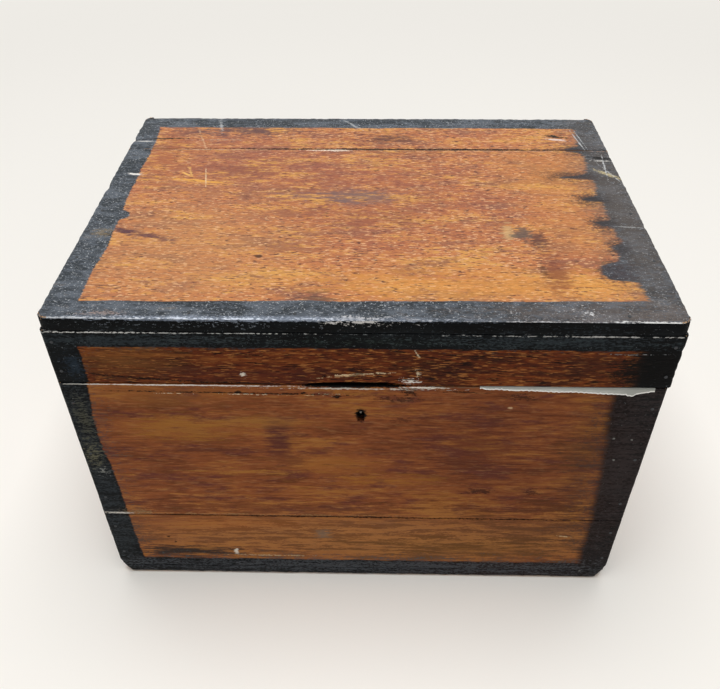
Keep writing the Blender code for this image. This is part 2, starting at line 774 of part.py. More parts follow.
def lock_spring():
    """The leaf spring that keeps the bolt up. Its foot stands in the corner of the cap."""
    wall = LOCK_X - CAP_WIDTH / 2 + CAP_WALL + FIT_GAP + SPRING_THICKNESS / 2
    floor = CASE_HEIGHT - CAP_HEIGHT + CAP_WALL + FIT_GAP
    crest = BOLT_Z - BOLT_BAR_HEIGHT / 2 - FIT_GAP - SPRING_THICKNESS / 2
    shoulder = floor + SPRING_FOOT_LENGTH
    section = [(wall, floor), (wall, (floor + shoulder) / 2)]
    for i in range(SPRING_STATIONS):
        share = i / (SPRING_STATIONS - 1)
        climb = math.sin(share * math.pi / 2)
        section.append((wall + SPRING_REACH * share**2, shoulder + (crest - shoulder) * climb))
    section.append((wall + SPRING_REACH + SPRING_TIP_LENGTH, crest - SPRING_TIP_FALL))
    half = SPRING_WIDTH / 2
    rows = [((x, BOLT_Y - half, z), (x, BOLT_Y + half, z)) for x, z in section]
    return strip("lock_spring", rows, SPRING_THICKNESS, STEEL)


def link_plate(front_rail, pivot):
    """The plate under the lid's front rail, with the two tongues that the bolt catches."""
    half = LINK_PLATE_LENGTH / 2
    near = FRONT_INNER_FACE - LINK_PLATE_WIDTH
    top = LID_UNDERSIDE + LINK_PLATE_THICKNESS
    plate = box(
        "link_plate",
        (LOCK_X - half, near, LID_UNDERSIDE),
        (LOCK_X + half, FRONT_INNER_FACE, top),
        BLACK_IRON,
        pivot,
    )
    recess = box(
        "link_plate_recess",
        (LOCK_X - half - FIT_GAP, near - FIT_GAP, LID_UNDERSIDE - CUT_OVERRUN),
        (LOCK_X + half + FIT_GAP, FRONT_INNER_FACE + CUT_OVERRUN, top + FIT_GAP),
        parent=pivot,
    )
    cut(front_rail, recess)
    beside = BOLT_THICKNESS / 2 + EYE_CLEARANCE
    eye_top = CASE_HEIGHT - BEAK_DROP + EYE_CLEARANCE
    eye_foot = CASE_HEIGHT - BEAK_DROP - BEAK_HEIGHT - EYE_CLEARANCE
    turn = (math.pi, 0, 0)
    for side, name in ((-1, "left"), (1, "right")):
        left, right = tongue_span(side)
        tongue = box(
            f"{name}_tongue",
            (left, BOLT_Y - TONGUE_WIDTH / 2, CASE_HEIGHT - TONGUE_DROP),
            (right, BOLT_Y + TONGUE_WIDTH / 2, (LID_UNDERSIDE + top) / 2),
            parent=pivot,
        )
        combine(plate, tongue, "UNION")
        eye = box(
            f"{name}_eye",
            (left - CUT_OVERRUN, BOLT_Y - beside, eye_foot),
            (right + CUT_OVERRUN, BOLT_Y + beside, eye_top),
            parent=pivot,
        )
        cut(plate, eye)
        across = LOCK_X + side * (half - LINK_SCREW_INSET)
        seat = (across, FRONT_INNER_FACE - LINK_PLATE_WIDTH / 2, LID_UNDERSIDE)
        wood_screw(f"link_screw_{name}", seat, turn, (plate, front_rail), pivot)
    return plate


def lining_paper():
    """The paper on the inside of the front, folded over the rim, with its torn edge outside.

    The shares give how far the torn edge hangs, from the left end of the fold to the right.
    """
    torn_drop_shares = (0.2, 0.28, 0.3, 0.33, 0.36, 0.4, 0.45, 0.5, 0.75, 1.0, 0.4)
    wall_end = CASE_RIGHT_FACE - WALL_THICKNESS - PAPER_WALL_GAP
    fold_end = CASE_RIGHT_FACE - PAPER_RIGHT_INSET
    lift = FIT_GAP + PAPER_THICKNESS / 2
    inside, outside = FRONT_INNER_FACE + lift, FRONT_FACE - lift
    over = CASE_HEIGHT + lift
    rows = []
    for i, drop_share in enumerate(torn_drop_shares):
        share = i / (len(torn_drop_shares) - 1)
        inner_x = PAPER_LEFT + (wall_end - PAPER_LEFT) * share
        outer_x = PAPER_LEFT + (fold_end - PAPER_LEFT) * share
        row = (
            (inner_x, inside, CASE_HEIGHT - PAPER_INSIDE_DROP),
            (inner_x, inside, over),
            (outer_x, outside, over),
            (outer_x, outside, over - PAPER_TORN_DROP * drop_share),
        )
        rows.append(row)
    return strip("front_lining_paper", rows, PAPER_THICKNESS, PAPER)


def main():
    """Build the chest, closed and unlocked."""
    lid_pivot = new_pivot("lid_pivot", (0, HINGE_AXIS_Y, HINGE_AXIS_Z))
    bolt_pivot = new_pivot("bolt_pivot", (LOCK_X, BOLT_Y, BOLT_Z))
    case_front, case_back = case()
    lid_front, lid_back = lid(lid_pivot)
    hinges(case_back, lid_back, lid_pivot)
    cap = lock_cap(case_front)
    plate = lock_plate(case_front)
    keyhole(case_front, cap)
    guide_studs(plate)
    drill_pin(plate)
    lock_bolt(bolt_pivot)
    lock_spring()
    link_plate(lid_front, lid_pivot)
    lining_paper()


main()
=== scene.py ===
"""Looks of an old pine chest: worn boards, hand-painted borders, torn lining, nails and iron.

Metres. The front faces -Y, +X runs along the front to the right, and the frame's origin is
the middle of the underside. Marks and pattern scales are written in millimetres.
"""

import logging
import math
from dataclasses import dataclass, field
from enum import Enum
from typing import Callable, Iterable, Optional, Sequence

import bmesh
import bpy
from bpy.types import Material, NodeSocket, Object
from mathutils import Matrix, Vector


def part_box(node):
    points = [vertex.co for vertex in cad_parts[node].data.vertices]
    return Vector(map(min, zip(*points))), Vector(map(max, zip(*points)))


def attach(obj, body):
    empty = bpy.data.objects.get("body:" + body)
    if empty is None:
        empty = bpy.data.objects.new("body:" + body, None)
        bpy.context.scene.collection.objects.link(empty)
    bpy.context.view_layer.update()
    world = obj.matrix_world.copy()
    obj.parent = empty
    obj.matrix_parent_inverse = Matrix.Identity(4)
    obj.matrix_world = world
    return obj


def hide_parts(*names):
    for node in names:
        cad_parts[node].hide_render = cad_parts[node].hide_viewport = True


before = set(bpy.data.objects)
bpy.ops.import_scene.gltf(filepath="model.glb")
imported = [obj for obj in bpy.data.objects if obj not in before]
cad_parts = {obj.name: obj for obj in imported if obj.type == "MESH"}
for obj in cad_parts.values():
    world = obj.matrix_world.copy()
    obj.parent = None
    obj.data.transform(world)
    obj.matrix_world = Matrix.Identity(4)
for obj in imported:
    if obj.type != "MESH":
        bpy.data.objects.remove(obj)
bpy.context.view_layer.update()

MM = 0.001
TOUCH = 1e-5        # Places nearer than this, in metres, are one place
FRONT_Y, BACK_Y, TOP_Z = -168.5, 168.5, 309.2       # The outer planes, in millimetres
LOG = logging.getLogger("chest")


class Axis(Enum):
    """A direction of the frame, as its place in a coordinate."""

    X = 0
    Y = 1
    Z = 2


class Facing(Enum):
    """The way that a face of the chest looks, from outside, or INSIDE for bare wood."""

    TOP = "top"
    FRONT = "front"
    BACK = "back"
    LEFT = "left"
    RIGHT = "right"
    UNDER = "under"
    INSIDE = "inside"


class Body(Enum):
    """The moving bodies that pieces ride on."""

    CASE = "case"
    LID = "lid"


class Slot(Enum):
    """The material slots of the record."""

    WOOD = "varnished_wood"
    IRON = "black_iron"
    PAPER = "lining_paper"


Colour = tuple[float, float, float, float]
Place = tuple[float, float, float]
Nailed = list[tuple[Place, Facing]]


def linear(code: str) -> Colour:
    """Turn an sRGB hex colour into linear light.

    Args:
        code: Six hex digits after a hash.

    Returns:
        Red, green, blue and alpha.
    """
    shares = [int(code[i : i + 2], 16) / 255 for i in (1, 3, 5)]
    light = [c / 12.92 if c <= 0.04045 else ((c + 0.055) / 1.055) ** 2.4 for c in shares]
    return (light[0], light[1], light[2], 1.0)


# Finishes

SOFT_STEP = {"interpolation_type": "SMOOTHSTEP"}
THROUGH = 1000.0        # So deep, in metres, that a mark reaches through the chest
PINE = "brush_grained_pine_"
ARRIS_ATTRIBUTE = "arris"
TORN_ATTRIBUTE = "torn"


class Graph:
    """The node tree of one finish, which reads the place on the chest, or of the studio's air."""

    def __init__(self, tree: bpy.types.NodeTree, grain: Axis = Axis.X,
                 shift: float = 0.0) -> None:
        """Take up a node tree.

        Args:
            tree: The tree.
            grain: The axis that the wood's grain follows.
            shift: Moves its patterns, so that two finishes of a kind differ.
        """
        self.tree, self.grain, self.shift = tree, grain, shift

    @classmethod
    def of_finish(cls, name: str, grain: Axis = Axis.X, shift: float = 0.0) -> "Graph":
        """Make a material and take up its tree.

        Args:
            name: The material's name.
            grain: The axis that the wood's grain follows.
            shift: Moves its patterns.

        Returns:
            Its graph.
        """
        material = bpy.data.materials.new(name)
        material.use_nodes = True
        graph = cls(material.node_tree, grain, shift)
        graph.material, graph.shader = material, graph.tree.nodes["Principled BSDF"]
        graph.place = graph.add("TexCoord", output="Object")
        graph.axes = graph.add("SeparateXYZ", {0: graph.place}).node.outputs
        return graph

    def add(self, kind: str, inputs: Optional[dict] = None, output: object = 0,
            stops: Sequence = (), **settings: object) -> NodeSocket:
        """Add a shader node with its settings and links.

        Args:
            kind: The node's type, without its "ShaderNode".
            inputs: A value or a socket for each input, by name or number.
            output: The name or number of the output that is wanted.
            stops: A ramp's places and colours, or a curve's points.
            settings: The node's own attributes.

        Returns:
            The wanted output socket.
        """
        node = self.tree.nodes.new("ShaderNode" + kind)
        for name, value in settings.items():
            setattr(node, name, value)
        self.wire(node, inputs or {})
        if kind == "FloatCurve":
            curve = node.mapping.curves[0]
            curve.points[0].location, curve.points[1].location = stops[0], stops[-1]
            for stop in stops[1:-1]:
                curve.points.new(*stop)
            for point in curve.points:
                point.handle_type = "AUTO_CLAMPED"
            node.mapping.update()
        elif stops:
            ramp = node.color_ramp.elements
            for i, (place, colour) in enumerate(stops):
                stop = ramp[i] if i < 2 else ramp.new(place)
                stop.position, stop.color = place, colour
        return node.outputs[output]

    def wire(self, node: bpy.types.Node, inputs: dict) -> None:
        """Set or link the inputs of a node.

        Args:
            node: The node.
            inputs: A value or a socket for each input, by name or number.
        """
        for key, value in inputs.items():
            if isinstance(value, NodeSocket):
                self.tree.links.new(value, node.inputs[key])
            else:
                node.inputs[key].default_value = value

    def finish(self, colour: object, bump: object, gloss: object,
               sheen: float = 0.5) -> Material:
        """Wire the shader.

        Args:
            colour: The surface's colour.
            bump: The bumped normal.
            gloss: The roughness, as a socket or a number.
            sheen: The specular level, a half for a clean surface.

        Returns:
            The material.
        """
        self.wire(self.shader, {"Base Color": colour, "Normal": bump, "Roughness": gloss,
                                "Specular IOR Level": sheen})
        return self.material

    def streaks(self, length: float, width: float, detail: float = 3.0, shift: float = 0.0,
                rough: float = 0.55) -> NodeSocket:
        """Noise drawn out along the grain.

        Args:
            length: A streak's length along the grain, in millimetres.
            width: Its width across the grain, in millimetres.
            detail: How many finer layers lie on it.
            shift: Moves this pattern, so that two of a size differ.
            rough: How strong the finer layers are.

        Returns:
            A value about one half.
        """
        scale = [1 / (width * MM)] * 3
        scale[self.grain.value] = 1 / (length * MM)
        drawn = self.add("Mapping", {0: self.place, "Scale": scale,
                                     "Location": [self.shift + shift] * 3})
        return self.add("TexNoise", {0: drawn, "Scale": 1.0, "Detail": detail,
                                     "Roughness": rough})

    def blend(self, *shares: tuple[object, float], start: object = 0.0) -> object:
        """Blend noises and masks, each by its share.

        Args:
            shares: Pairs of a value and its share.
            start: What they are added to.

        Returns:
            The blend.
        """
        for value, share in shares:
            start = self.add("Math", {0: value, 1: share, 2: start}, operation="MULTIPLY_ADD")
        return start

    def lay(self, under: object, over: object, by: object, low: float, high: float,
            strength: float = 1.0) -> NodeSocket:
        """Lay a colour over another where a noise or a distance passes a soft step.

        Args:
            under: The colour below.
            over: The colour above, as sRGB hex or a socket.
            by: The noise or distance.
            low: Where the step starts.
            high: Where it ends. Under low, the colour lies where the value is small.
            strength: How much of the colour shows where it lies.

        Returns:
            The colour of both.
        """
        mask = self.add("MapRange", {0: by, 1: low, 2: high, 4: strength}, **SOFT_STEP)
        over = linear(over) if isinstance(over, str) else over
        return self.add("Mix", {0: mask, 6: under, 7: over}, output=2, data_type="RGBA")


@dataclass(frozen=True)
class Mark:
    """A stain, chip, scratch, crack, painted highlight or painted shade on a flat face, in
    millimetres.

    Attributes:
        across: Its middle, along the face's first axis.
        up: Its middle, along the face's second axis.
        half_across: Half its length along the first axis.
        half_up: Half its length along the second.
        colour: Its colour, as sRGB hex.
        strength: How much of it shows.
        soft: How far its edge fades, as a share of its size.
        ragged: How far noise breaks its edge, as a share of its size.
        turn: How far it is turned, in degrees.
        dent: How deep it is.
        cover: How much of it is covered. At none, specks that thin out towards its edge.
    """

    across: float
    up: float
    half_across: float
    half_up: float
    colour: str
    strength: float = 0.8
    soft: float = 0.5
    ragged: float = 1.2
    turn: float = 0.0
    dent: float = 0.0
    cover: float = 1.0

    @classmethod
    def patch(cls, left: float, head: float, right: float, foot: float, colour: str,
              strength: float = 0.7, soft: float = 0.9, ragged: float = 1.6,
              cover: float = 1.0) -> "Mark":
        """A patch between two corners, with the rest as in the class.

        Args:
            left, head: One corner, along the first axis and the second.
            right, foot: The opposite corner.
            colour, strength, soft, ragged, cover: How it looks.

        Returns:
            The mark.
        """
        return cls((left + right) / 2, (head + foot) / 2, abs(right - left) / 2,
                   abs(head - foot) / 2, colour, strength, soft, ragged, cover=cover)

    @classmethod
    def line(cls, from_across: float, from_up: float, to_across: float, to_up: float,
             width: float, colour: str, strength: float = 0.9, soft: float = 0.4,
             ragged: float = 1.6, dent: float = 0.0, cover: float = 1.0) -> "Mark":
        """A crack, scratch or worn line, with the rest as in the class.

        Args:
            from_across, from_up: Where it starts.
            to_across, to_up: Where it ends.
            width: How wide it is.
            colour, strength, soft, ragged, dent, cover: How it looks.

        Returns:
            The mark.
        """
        run, rise = to_across - from_across, to_up - from_up
        return cls((from_across + to_across) / 2, (from_up + to_up) / 2,
                   math.hypot(run, rise) / 2, width / 2, colour, strength, soft, ragged,
                   math.degrees(math.atan2(rise, run)), dent, cover)


def marks_within(marks: tuple[Mark, ...], low: float, high: float) -> tuple[Mark, ...]:
    """The marks that reach a board between two places on the second axis.

    Args:
        marks: The marks of the whole face.
        low: Where the board starts.
        high: Where it ends.

    Returns:
        Its own marks.
    """
    return tuple(mark for mark in marks
                 if low - max(mark.half_up, 2) < mark.up < high + max(mark.half_up, 2))


class Side(Enum):
    """The edge of a face that a painted border lies along: its axis in the face and its way."""

    LEFT = (0, -1)
    RIGHT = (0, 1)
    FOOT = (1, -1)
    HEAD = (1, 1)


@dataclass(frozen=True)
class Border:
    """A painted border along one edge of a face.

    Attributes:
        side: The edge that it lies along.
        at: Where the paint stops, in the face's own axis, in millimetres.
        soft: How far the stop fades.
        slope: How far the stop moves for each millimetre along it.
        wobble: How far the hand strayed.
        bleed: How far the paint ran along the grain.
        teeth: Brush ends, as pairs of a place along the edge and the stop there.
    """

    side: Side
    at: float = 0.0
    soft: float = 0.6
    slope: float = 0.0
    wobble: float = 1.6
    bleed: float = 0.8
    teeth: tuple[tuple[float, float], ...] = ()


@dataclass(frozen=True)
class Stain:
    """The colours of a stained and varnished pine board, as sRGB hex."""

    deep: str
    body: str
    warm: str
    gold: str
    plum: str
    dash: str
    fleck: str


@dataclass(frozen=True)
class BorderPaint:
    """The colours of the black border paint on one face, as sRGB hex."""

    body: str
    thin: str
    rubbed: str
    speck: str
    speck_from: float = 0.66
    bare: str = "#BDB4A8"


@dataclass(frozen=True)
class PaintedPine:
    """Varnished pine with a graining of drawn brush strokes and a black painted border.

    The eye sees short dark and light strokes along the grain, broad clouds of plum and gold
    in the varnish, a dull blue-black border with a hand-drawn edge, and pale bare wood where
    the arrises are rubbed.
    """

    name: str
    plane: tuple[Axis, Axis]
    stain: Stain
    paint: BorderPaint
    borders: tuple[Border, ...]
    stains: tuple[Mark, ...] = ()
    marks: tuple[Mark, ...] = ()
    grain: Axis = Axis.X
    shift: float = 0.0
    drawn: float = 1.0
    bristle: float = 1.0
    contrast: float = 0.8
    sheen: float = 0.06
    rubbed_width: float = 1.1
    rubbed_share: float = 0.55

    def build(self) -> Material:
        """Make the material.

        Returns:
            The material.
        """
        graph = Graph.of_finish(self.name, self.grain, self.shift)
        # A bristle's line of 0.2 mm is too fine to show, so bundles of bristles are drawn
        broad = graph.streaks(80, 24, 3.0, 1.3)
        middle = graph.streaks(18 * self.drawn, 4.4 * self.bristle, 4.0, 4.1, 0.68)
        fine = graph.streaks(5.5 * self.drawn, 1.9 * self.bristle, 3.0, 7.7, 0.7)
        varnish = self.varnish(graph, broad, middle, fine)
        coat = self.coat(graph, fine)
        varnish, _ = self.lay_marks(graph, varnish, middle, fine, self.stains, 0.3)
        mask = self.border_mask(graph)
        colour = graph.add("Mix", {0: mask, 6: varnish, 7: coat}, output=2, data_type="RGBA")
        colour, dents = self.lay_marks(graph, colour, middle, fine, self.marks)
        colour = self.rub_arrises(graph, colour, fine)
        grit = graph.blend((fine, 0.5), (middle, 0.5), (dents, -1.0))
        bump = graph.add("Bump", {"Strength": 0.8, "Distance": 1.0 * MM, "Height": grit})
        gloss = graph.blend((broad, 0.3), (fine, 0.4), (mask, 0.05), start=0.22)
        return graph.finish(colour, bump, gloss, self.sheen)

    def varnish(self, graph: Graph, broad: object, middle: object, fine: object) -> object:
        """The stained field: clouds, streaks and drawn strokes.

        Args:
            graph: The finish being made.
            broad: Noise as wide as a hand.
            middle: Noise as wide as a brush stroke.
            fine: Noise as wide as a bundle of bristles.

        Returns:
            The field's colour.
        """
        stain = self.stain
        tone = graph.blend((broad, 0.36), (middle, 0.38), (fine, 0.26))
        stops = [(0.41, stain.deep), (0.47, stain.body), (0.52, stain.warm), (0.58, stain.gold)]
        colour = graph.add("ValToRGB", {0: tone},
                           stops=[(at, linear(code)) for at, code in stops])
        clouds = graph.streaks(40, 12, 5.0, 11.9, 0.7)
        colour = graph.lay(colour, stain.plum, clouds, 0.5, 0.64, 0.8)
        strokes = graph.streaks(7 * self.drawn, 1.7 * self.bristle, 2.0, 15.2, 0.6)
        colour = graph.lay(colour, stain.dash, strokes, 0.54, 0.65, self.contrast)
        flecks = graph.streaks(5 * self.drawn, 1.5 * self.bristle, 2.0, 19.8, 0.6)
        return graph.lay(colour, stain.fleck, flecks, 0.55, 0.66, self.contrast * 0.85)

    def coat(self, graph: Graph, fine: object) -> object:
        """The border's paint: thin places, rubbed places and pale specks.

        Args:
            graph: The finish being made.
            fine: Noise as wide as a bundle of bristles.

        Returns:
            The border's colour.
        """
        paint = self.paint
        patches = graph.streaks(26, 11, 5.0, 23.5, 0.65)
        colour = graph.lay(linear(paint.body), paint.thin, patches, 0.42, 0.6)
        colour = graph.lay(colour, paint.rubbed, patches, 0.62, 0.7, 0.6)
        colour = graph.lay(colour, paint.thin, fine, 0.48, 0.64, 0.8)
        colour = graph.lay(colour, paint.body, fine, 0.46, 0.34, 0.8)
        specks = graph.streaks(1.8, 1.25, 2.0, 31.1, 0.75)
        edge = paint.speck_from
        return graph.lay(colour, paint.speck, specks, edge, edge + 0.05, 0.75)

    def border_mask(self, graph: Graph) -> object:
        """Where the border is painted.

        Args:
            graph: The finish being made.

        Returns:
            One on the border and none on the field.
        """
        hand = graph.streaks(30, 22, 3.0, 37.4)
        bleed = graph.streaks(26, 2.2, 3.0, 41.7, 0.65)
        mask: object = 0.0
        for border in self.borders:
            index, way = border.side.value
            off = graph.axes[self.plane[index].value]
            along = graph.axes[self.plane[1 - index].value]
            stray = graph.blend((off, way / MM), (hand, border.wobble * 2),
                                (bleed, border.bleed * 4))
            stop = way * border.at + border.wobble + border.bleed * 2
            if border.teeth:
                stray = graph.blend((stray, 1.0), (self.teeth(graph, along, border), -way))
            elif border.slope:
                stray = graph.blend((stray, 1.0), (along, -way * border.slope / MM))
            edge = graph.add("MapRange", {0: stray, 1: stop - border.soft, 2: stop + border.soft},
                             **SOFT_STEP)
            mask = graph.add("Math", {0: mask, 1: edge}, operation="MAXIMUM")
        return mask

    def teeth(self, graph: Graph, along: object, border: Border) -> object:
        """How far the paint's stop lies from the border's own along the edge.

        Args:
            graph: The finish being made.
            along: The place along the edge, in metres.
            border: The border.

        Returns:
            The distance, in millimetres.
        """
        places = [place for place, _ in border.teeth]
        stops = [stop - border.at for _, stop in border.teeth]
        first, last = min(places), max(places)
        low, high = min(stops), max(stops)
        share = graph.add("MapRange", {"Value": along, "From Min": first * MM,
                                       "From Max": last * MM})
        points = sorted(((place - first) / (last - first), (stop - low) / (high - low))
                        for place, stop in zip(places, stops))
        curve = graph.add("FloatCurve", {"Value": share}, stops=points)
        return graph.add("MapRange", {"Value": curve, "To Min": low, "To Max": high})

    def lay_marks(self, graph: Graph, colour: object, middle: object, fine: object,
                  marks: tuple[Mark, ...], gritty: float = 1.0) -> tuple[object, object]:
        """Lay the marks over the colour.

        Args:
            graph: The finish being made.
            colour: The colour below them.
            middle: Noise that bends their edges.
            fine: Noise that frays their edges.
            marks: The marks, from the lowest up.
            gritty: How far their edges are specks and not brush strokes.

        Returns:
            The colour with the marks, and how deep they are.
        """
        first, second = (axis.value for axis in self.plane)
        depth = 3 - first - second
        grit = graph.streaks(2.6, 1.1, 2.0, 53.3, 0.65)
        fray = graph.blend((middle, 2.9 - 1.8 * gritty), (fine, 0.9), (grit, 1.8 * gritty),
                           start=-1.4)
        dents: object = 0.0
        for mark in marks:
            centre, half, turn = [0.0] * 3, [THROUGH] * 3, [0.0] * 3
            centre[first], centre[second] = mark.across * MM, mark.up * MM
            half[first], half[second] = mark.half_across * MM, mark.half_up * MM
            turn[depth] = math.radians(-mark.turn if depth == Axis.Y.value else mark.turn)
            centred = graph.add("Mapping", {0: graph.place, "Location": centre,
                                            "Rotation": turn, "Scale": half},
                                vector_type="TEXTURE")
            reach = graph.add("VectorMath", {0: centred}, output="Value", operation="LENGTH")
            frayed = graph.blend((reach, 1.0), (fray, mark.ragged * 2))
            edge = 1.0 + mark.ragged * mark.cover
            mask = graph.add("MapRange", {0: frayed, 1: edge + mark.soft, 2: edge - mark.soft,
                                          4: mark.strength}, **SOFT_STEP)
            colour = graph.add("Mix", {0: mask, 6: colour, 7: linear(mark.colour)}, output=2,
                               data_type="RGBA")
            if mark.dent:
                dents = graph.blend((mask, mark.dent), start=dents)
        return colour, dents

    def rub_arrises(self, graph: Graph, colour: object, fine: object) -> object:
        """Rub the paint off the arrises, down to pale wood.

        Args:
            graph: The finish being made.
            colour: The colour below.
            fine: Noise as wide as a bundle of bristles.

        Returns:
            The colour with rubbed arrises.
        """
        away = graph.add("Attribute", output="Fac", attribute_name=ARRIS_ATTRIBUTE)
        spots = graph.streaks(9, 5, 4.0, 47.9, 0.75)
        worn = graph.blend((away, 0.28 / self.rubbed_width), (spots, 1.0), (fine, 0.25))
        return graph.lay(colour, self.paint.bare, worn, self.rubbed_share + 0.12,
                         self.rubbed_share, 0.85)


@dataclass(frozen=True)
class BarePine:
    """Unpainted pine, planed and darkened by age, as inside the chest.

    The eye sees straw brown with darker latewood lines along the grain and grey bloom.
    """

    name: str
    grain: Axis
    pale: str = "#B98F60"
    dark: str = "#8A5F38"
    line: str = "#6B4526"
    bloom: str = "#8D8477"
    shift: float = 0.0

    def build(self) -> Material:
        """Make the material.

        Returns:
            The material.
        """
        graph = Graph.of_finish(self.name, self.grain, self.shift)
        bend = graph.streaks(900, 70, 1.0, 2.2)
        rings = graph.blend((bend, 120.0), (graph.streaks(260, 14, 1.0, 5.6), 3.0))
        wave = graph.add("Math", {0: rings}, operation="SINE")
        # Wood fibres are too fine to show, so bundles of them are drawn
        fine = graph.streaks(30, 0.9, 2.0, 9.1)
        colour = graph.lay(linear(self.pale), self.dark, wave, -0.4, 1.0, 0.5)
        colour = graph.lay(colour, self.line, wave, 0.75, 1.0, 0.4)
        colour = graph.lay(colour, self.dark, fine, 0.48, 0.62, 0.5)
        clouds = graph.streaks(80, 40, 4.0, 13.4)
        colour = graph.lay(colour, self.bloom, clouds, 0.5, 0.75, 0.45)
        bump = graph.add("Bump", {"Strength": 0.35, "Distance": 0.4 * MM, "Height": fine})
        return graph.finish(colour, bump, 0.78)


@dataclass(frozen=True)
class OldIron:
    """Wrought or cast iron that has blackened and rusted.

    The eye sees a dull dark skin with brown rust in patches and a rubbed glint.
    """

    name: str
    skin: str = "#3A3632"
    rust: str = "#6A3F25"
    rubbed: str = "#77716A"
    metallic: float = 0.75
    rust_from: float = 0.5
    gloss: float = 0.3

    def build(self) -> Material:
        """Make the material.

        Returns:
            The material.
        """
        graph = Graph.of_finish(self.name)
        patches = graph.streaks(7, 7, 5.0, 3.3)
        pits = graph.streaks(0.9, 0.9, 2.0, 8.8)
        colour = graph.lay(linear(self.skin), self.rubbed, pits, 0.5, 0.75, 0.5)
        rusty = graph.add("MapRange", {0: patches, 1: self.rust_from, 2: self.rust_from + 0.12,
                                       4: 0.85}, **SOFT_STEP)
        colour = graph.add("Mix", {0: rusty, 6: colour, 7: linear(self.rust)}, output=2,
                           data_type="RGBA")
        bump = graph.add("Bump", {"Strength": 0.5, "Distance": 0.15 * MM, "Height": pits})
        gloss = graph.blend((rusty, 0.35), (pits, 0.3), start=self.gloss)
        graph.wire(graph.shader, {"Metallic": graph.blend((rusty, -self.metallic),
                                                          start=self.metallic)})
        return graph.finish(colour, bump, gloss)


@dataclass(frozen=True)
class LiningPaper:
    """Old rag paper that was pasted down, grey, with painted shade at the rim, and whiter where it
    is torn.
    """

    name: str
    face: str = "#CBCCC7"
    shade: str = "#A5A7A1"
    # Greyer towards the right end, and painted shade where the lid's rail overhangs the rim
    greyer_end_and_rim_shade: str = "#83857F"
    torn: str = "#F6F4EF"
    foxing: str = "#9B8B70"

    def build(self) -> Material:
        """Make the material.

        Returns:
            The material.
        """
        graph = Graph.of_finish(self.name)
        clouds = graph.streaks(18, 6, 4.0, 1.7)
        # Rag fibres are too fine to show, so tufts of them are drawn
        fibres = graph.streaks(1.6, 0.7, 2.0, 6.3)
        colour = graph.lay(linear(self.face), self.shade, clouds, 0.38, 0.66, 0.55)
        colour = graph.lay(colour, self.foxing, clouds, 0.6, 0.8, 0.35)
        # Darker towards the right end of the strip
        colour = graph.lay(colour, self.greyer_end_and_rim_shade, graph.axes["X"], 0.15, 0.21, 0.6)
        # Painted shade: darker above the rim, where the lid's rail shades the paper
        colour = graph.lay(colour, self.greyer_end_and_rim_shade, graph.axes["Z"], 0.2455, 0.2472, 0.7)
        torn = graph.add("Attribute", output="Fac", attribute_name=TORN_ATTRIBUTE)
        edge = graph.blend((torn, 1.0), (fibres, 1.2))
        colour = graph.lay(colour, self.torn, edge, 2.2, 1.2)
        bump = graph.add("Bump", {"Strength": 0.4, "Distance": 0.2 * MM, "Height": fibres})
        return graph.finish(colour, bump, 0.9)


patch, line = Mark.patch, Mark.line

LID_STAIN = Stain("#9A5E46", "#B26F48", "#BE7D4E", "#CE9652", "#865848", "#5E3830", "#E0AE82")
RAIL_STAIN = Stain("#381A0C", "#54250F", "#642D14", "#783F1C", "#3F190E", "#190A05", "#A06634")
CASE_STAIN = Stain("#69391E", "#814727", "#8D512C", "#9D6531", "#60322B", "#462313", "#B07D4E")
# The top's border is the same black paint as the front's, drawn lighter and bluer: painted sheen of
# the light on the top
LID_BORDER_WITH_SHEEN = BorderPaint("#292E33", "#575D65", "#716963", "#B4B7BA", 0.605)
CASE_BORDER = BorderPaint("#08090A", "#141618", "#262A2C", "#7E8386", 0.68)
RAIL_BORDER = BorderPaint("#050607", "#0F1214", "#20262A", "#7E8488", 0.67)

TOP_TEETH_RIGHT = (
    (138.7, 205.5), (111.9, 203.3), (103.4, 200.2), (97.6, 190.5), (95.0, 191.4), (90.5, 202.2),
    (83.6, 204.2), (53.4, 199.8), (45.0, 187.7), (41.8, 174.4), (40.5, 175.9), (37.6, 203.4),
    (12.3, 201.1), (5.4, 189.9), (2.7, 186.7), (1.0, 188.9), (-4.0, 202.9), (-29.7, 202.6),
    (-34.2, 192.1), (-36.4, 190.5), (-42.1, 201.0), (-50.4, 203.6), (-65.0, 204.0),
    (-69.8, 196.2), (-72.3, 195.2), (-85.1, 197.1), (-91.6, 194.8), (-96.5, 185.5),
    (-106.3, 179.5), (-113.3, 180.7), (-118.0, 187.2), (-120.7, 203.2), (-139.4, 205.3),
)
TOP_TEETH_LEFT = (
    (148.5, -209.6), (113.0, -207.3), (71.1, -206.4), (40.7, -206.9), (4.7, -206.8),
    (-19.3, -204.9), (-28.4, -197.4), (-37.6, -204.2), (-55.1, -204.2), (-78.0, -203.1),
    (-93.9, -203.7), (-107.3, -205.2), (-144.8, -204.1),
)
CASE_TEETH_LEFT = ((242.5, -207.2), (183.2, -211.1), (150.5, -208.0), (89.3, -207.1),
                   (24.2, -204.5))
CASE_TEETH_RIGHT = ((235.2, 187.1), (172.9, 192.8), (103.4, 198.1), (29.4, 199.1))

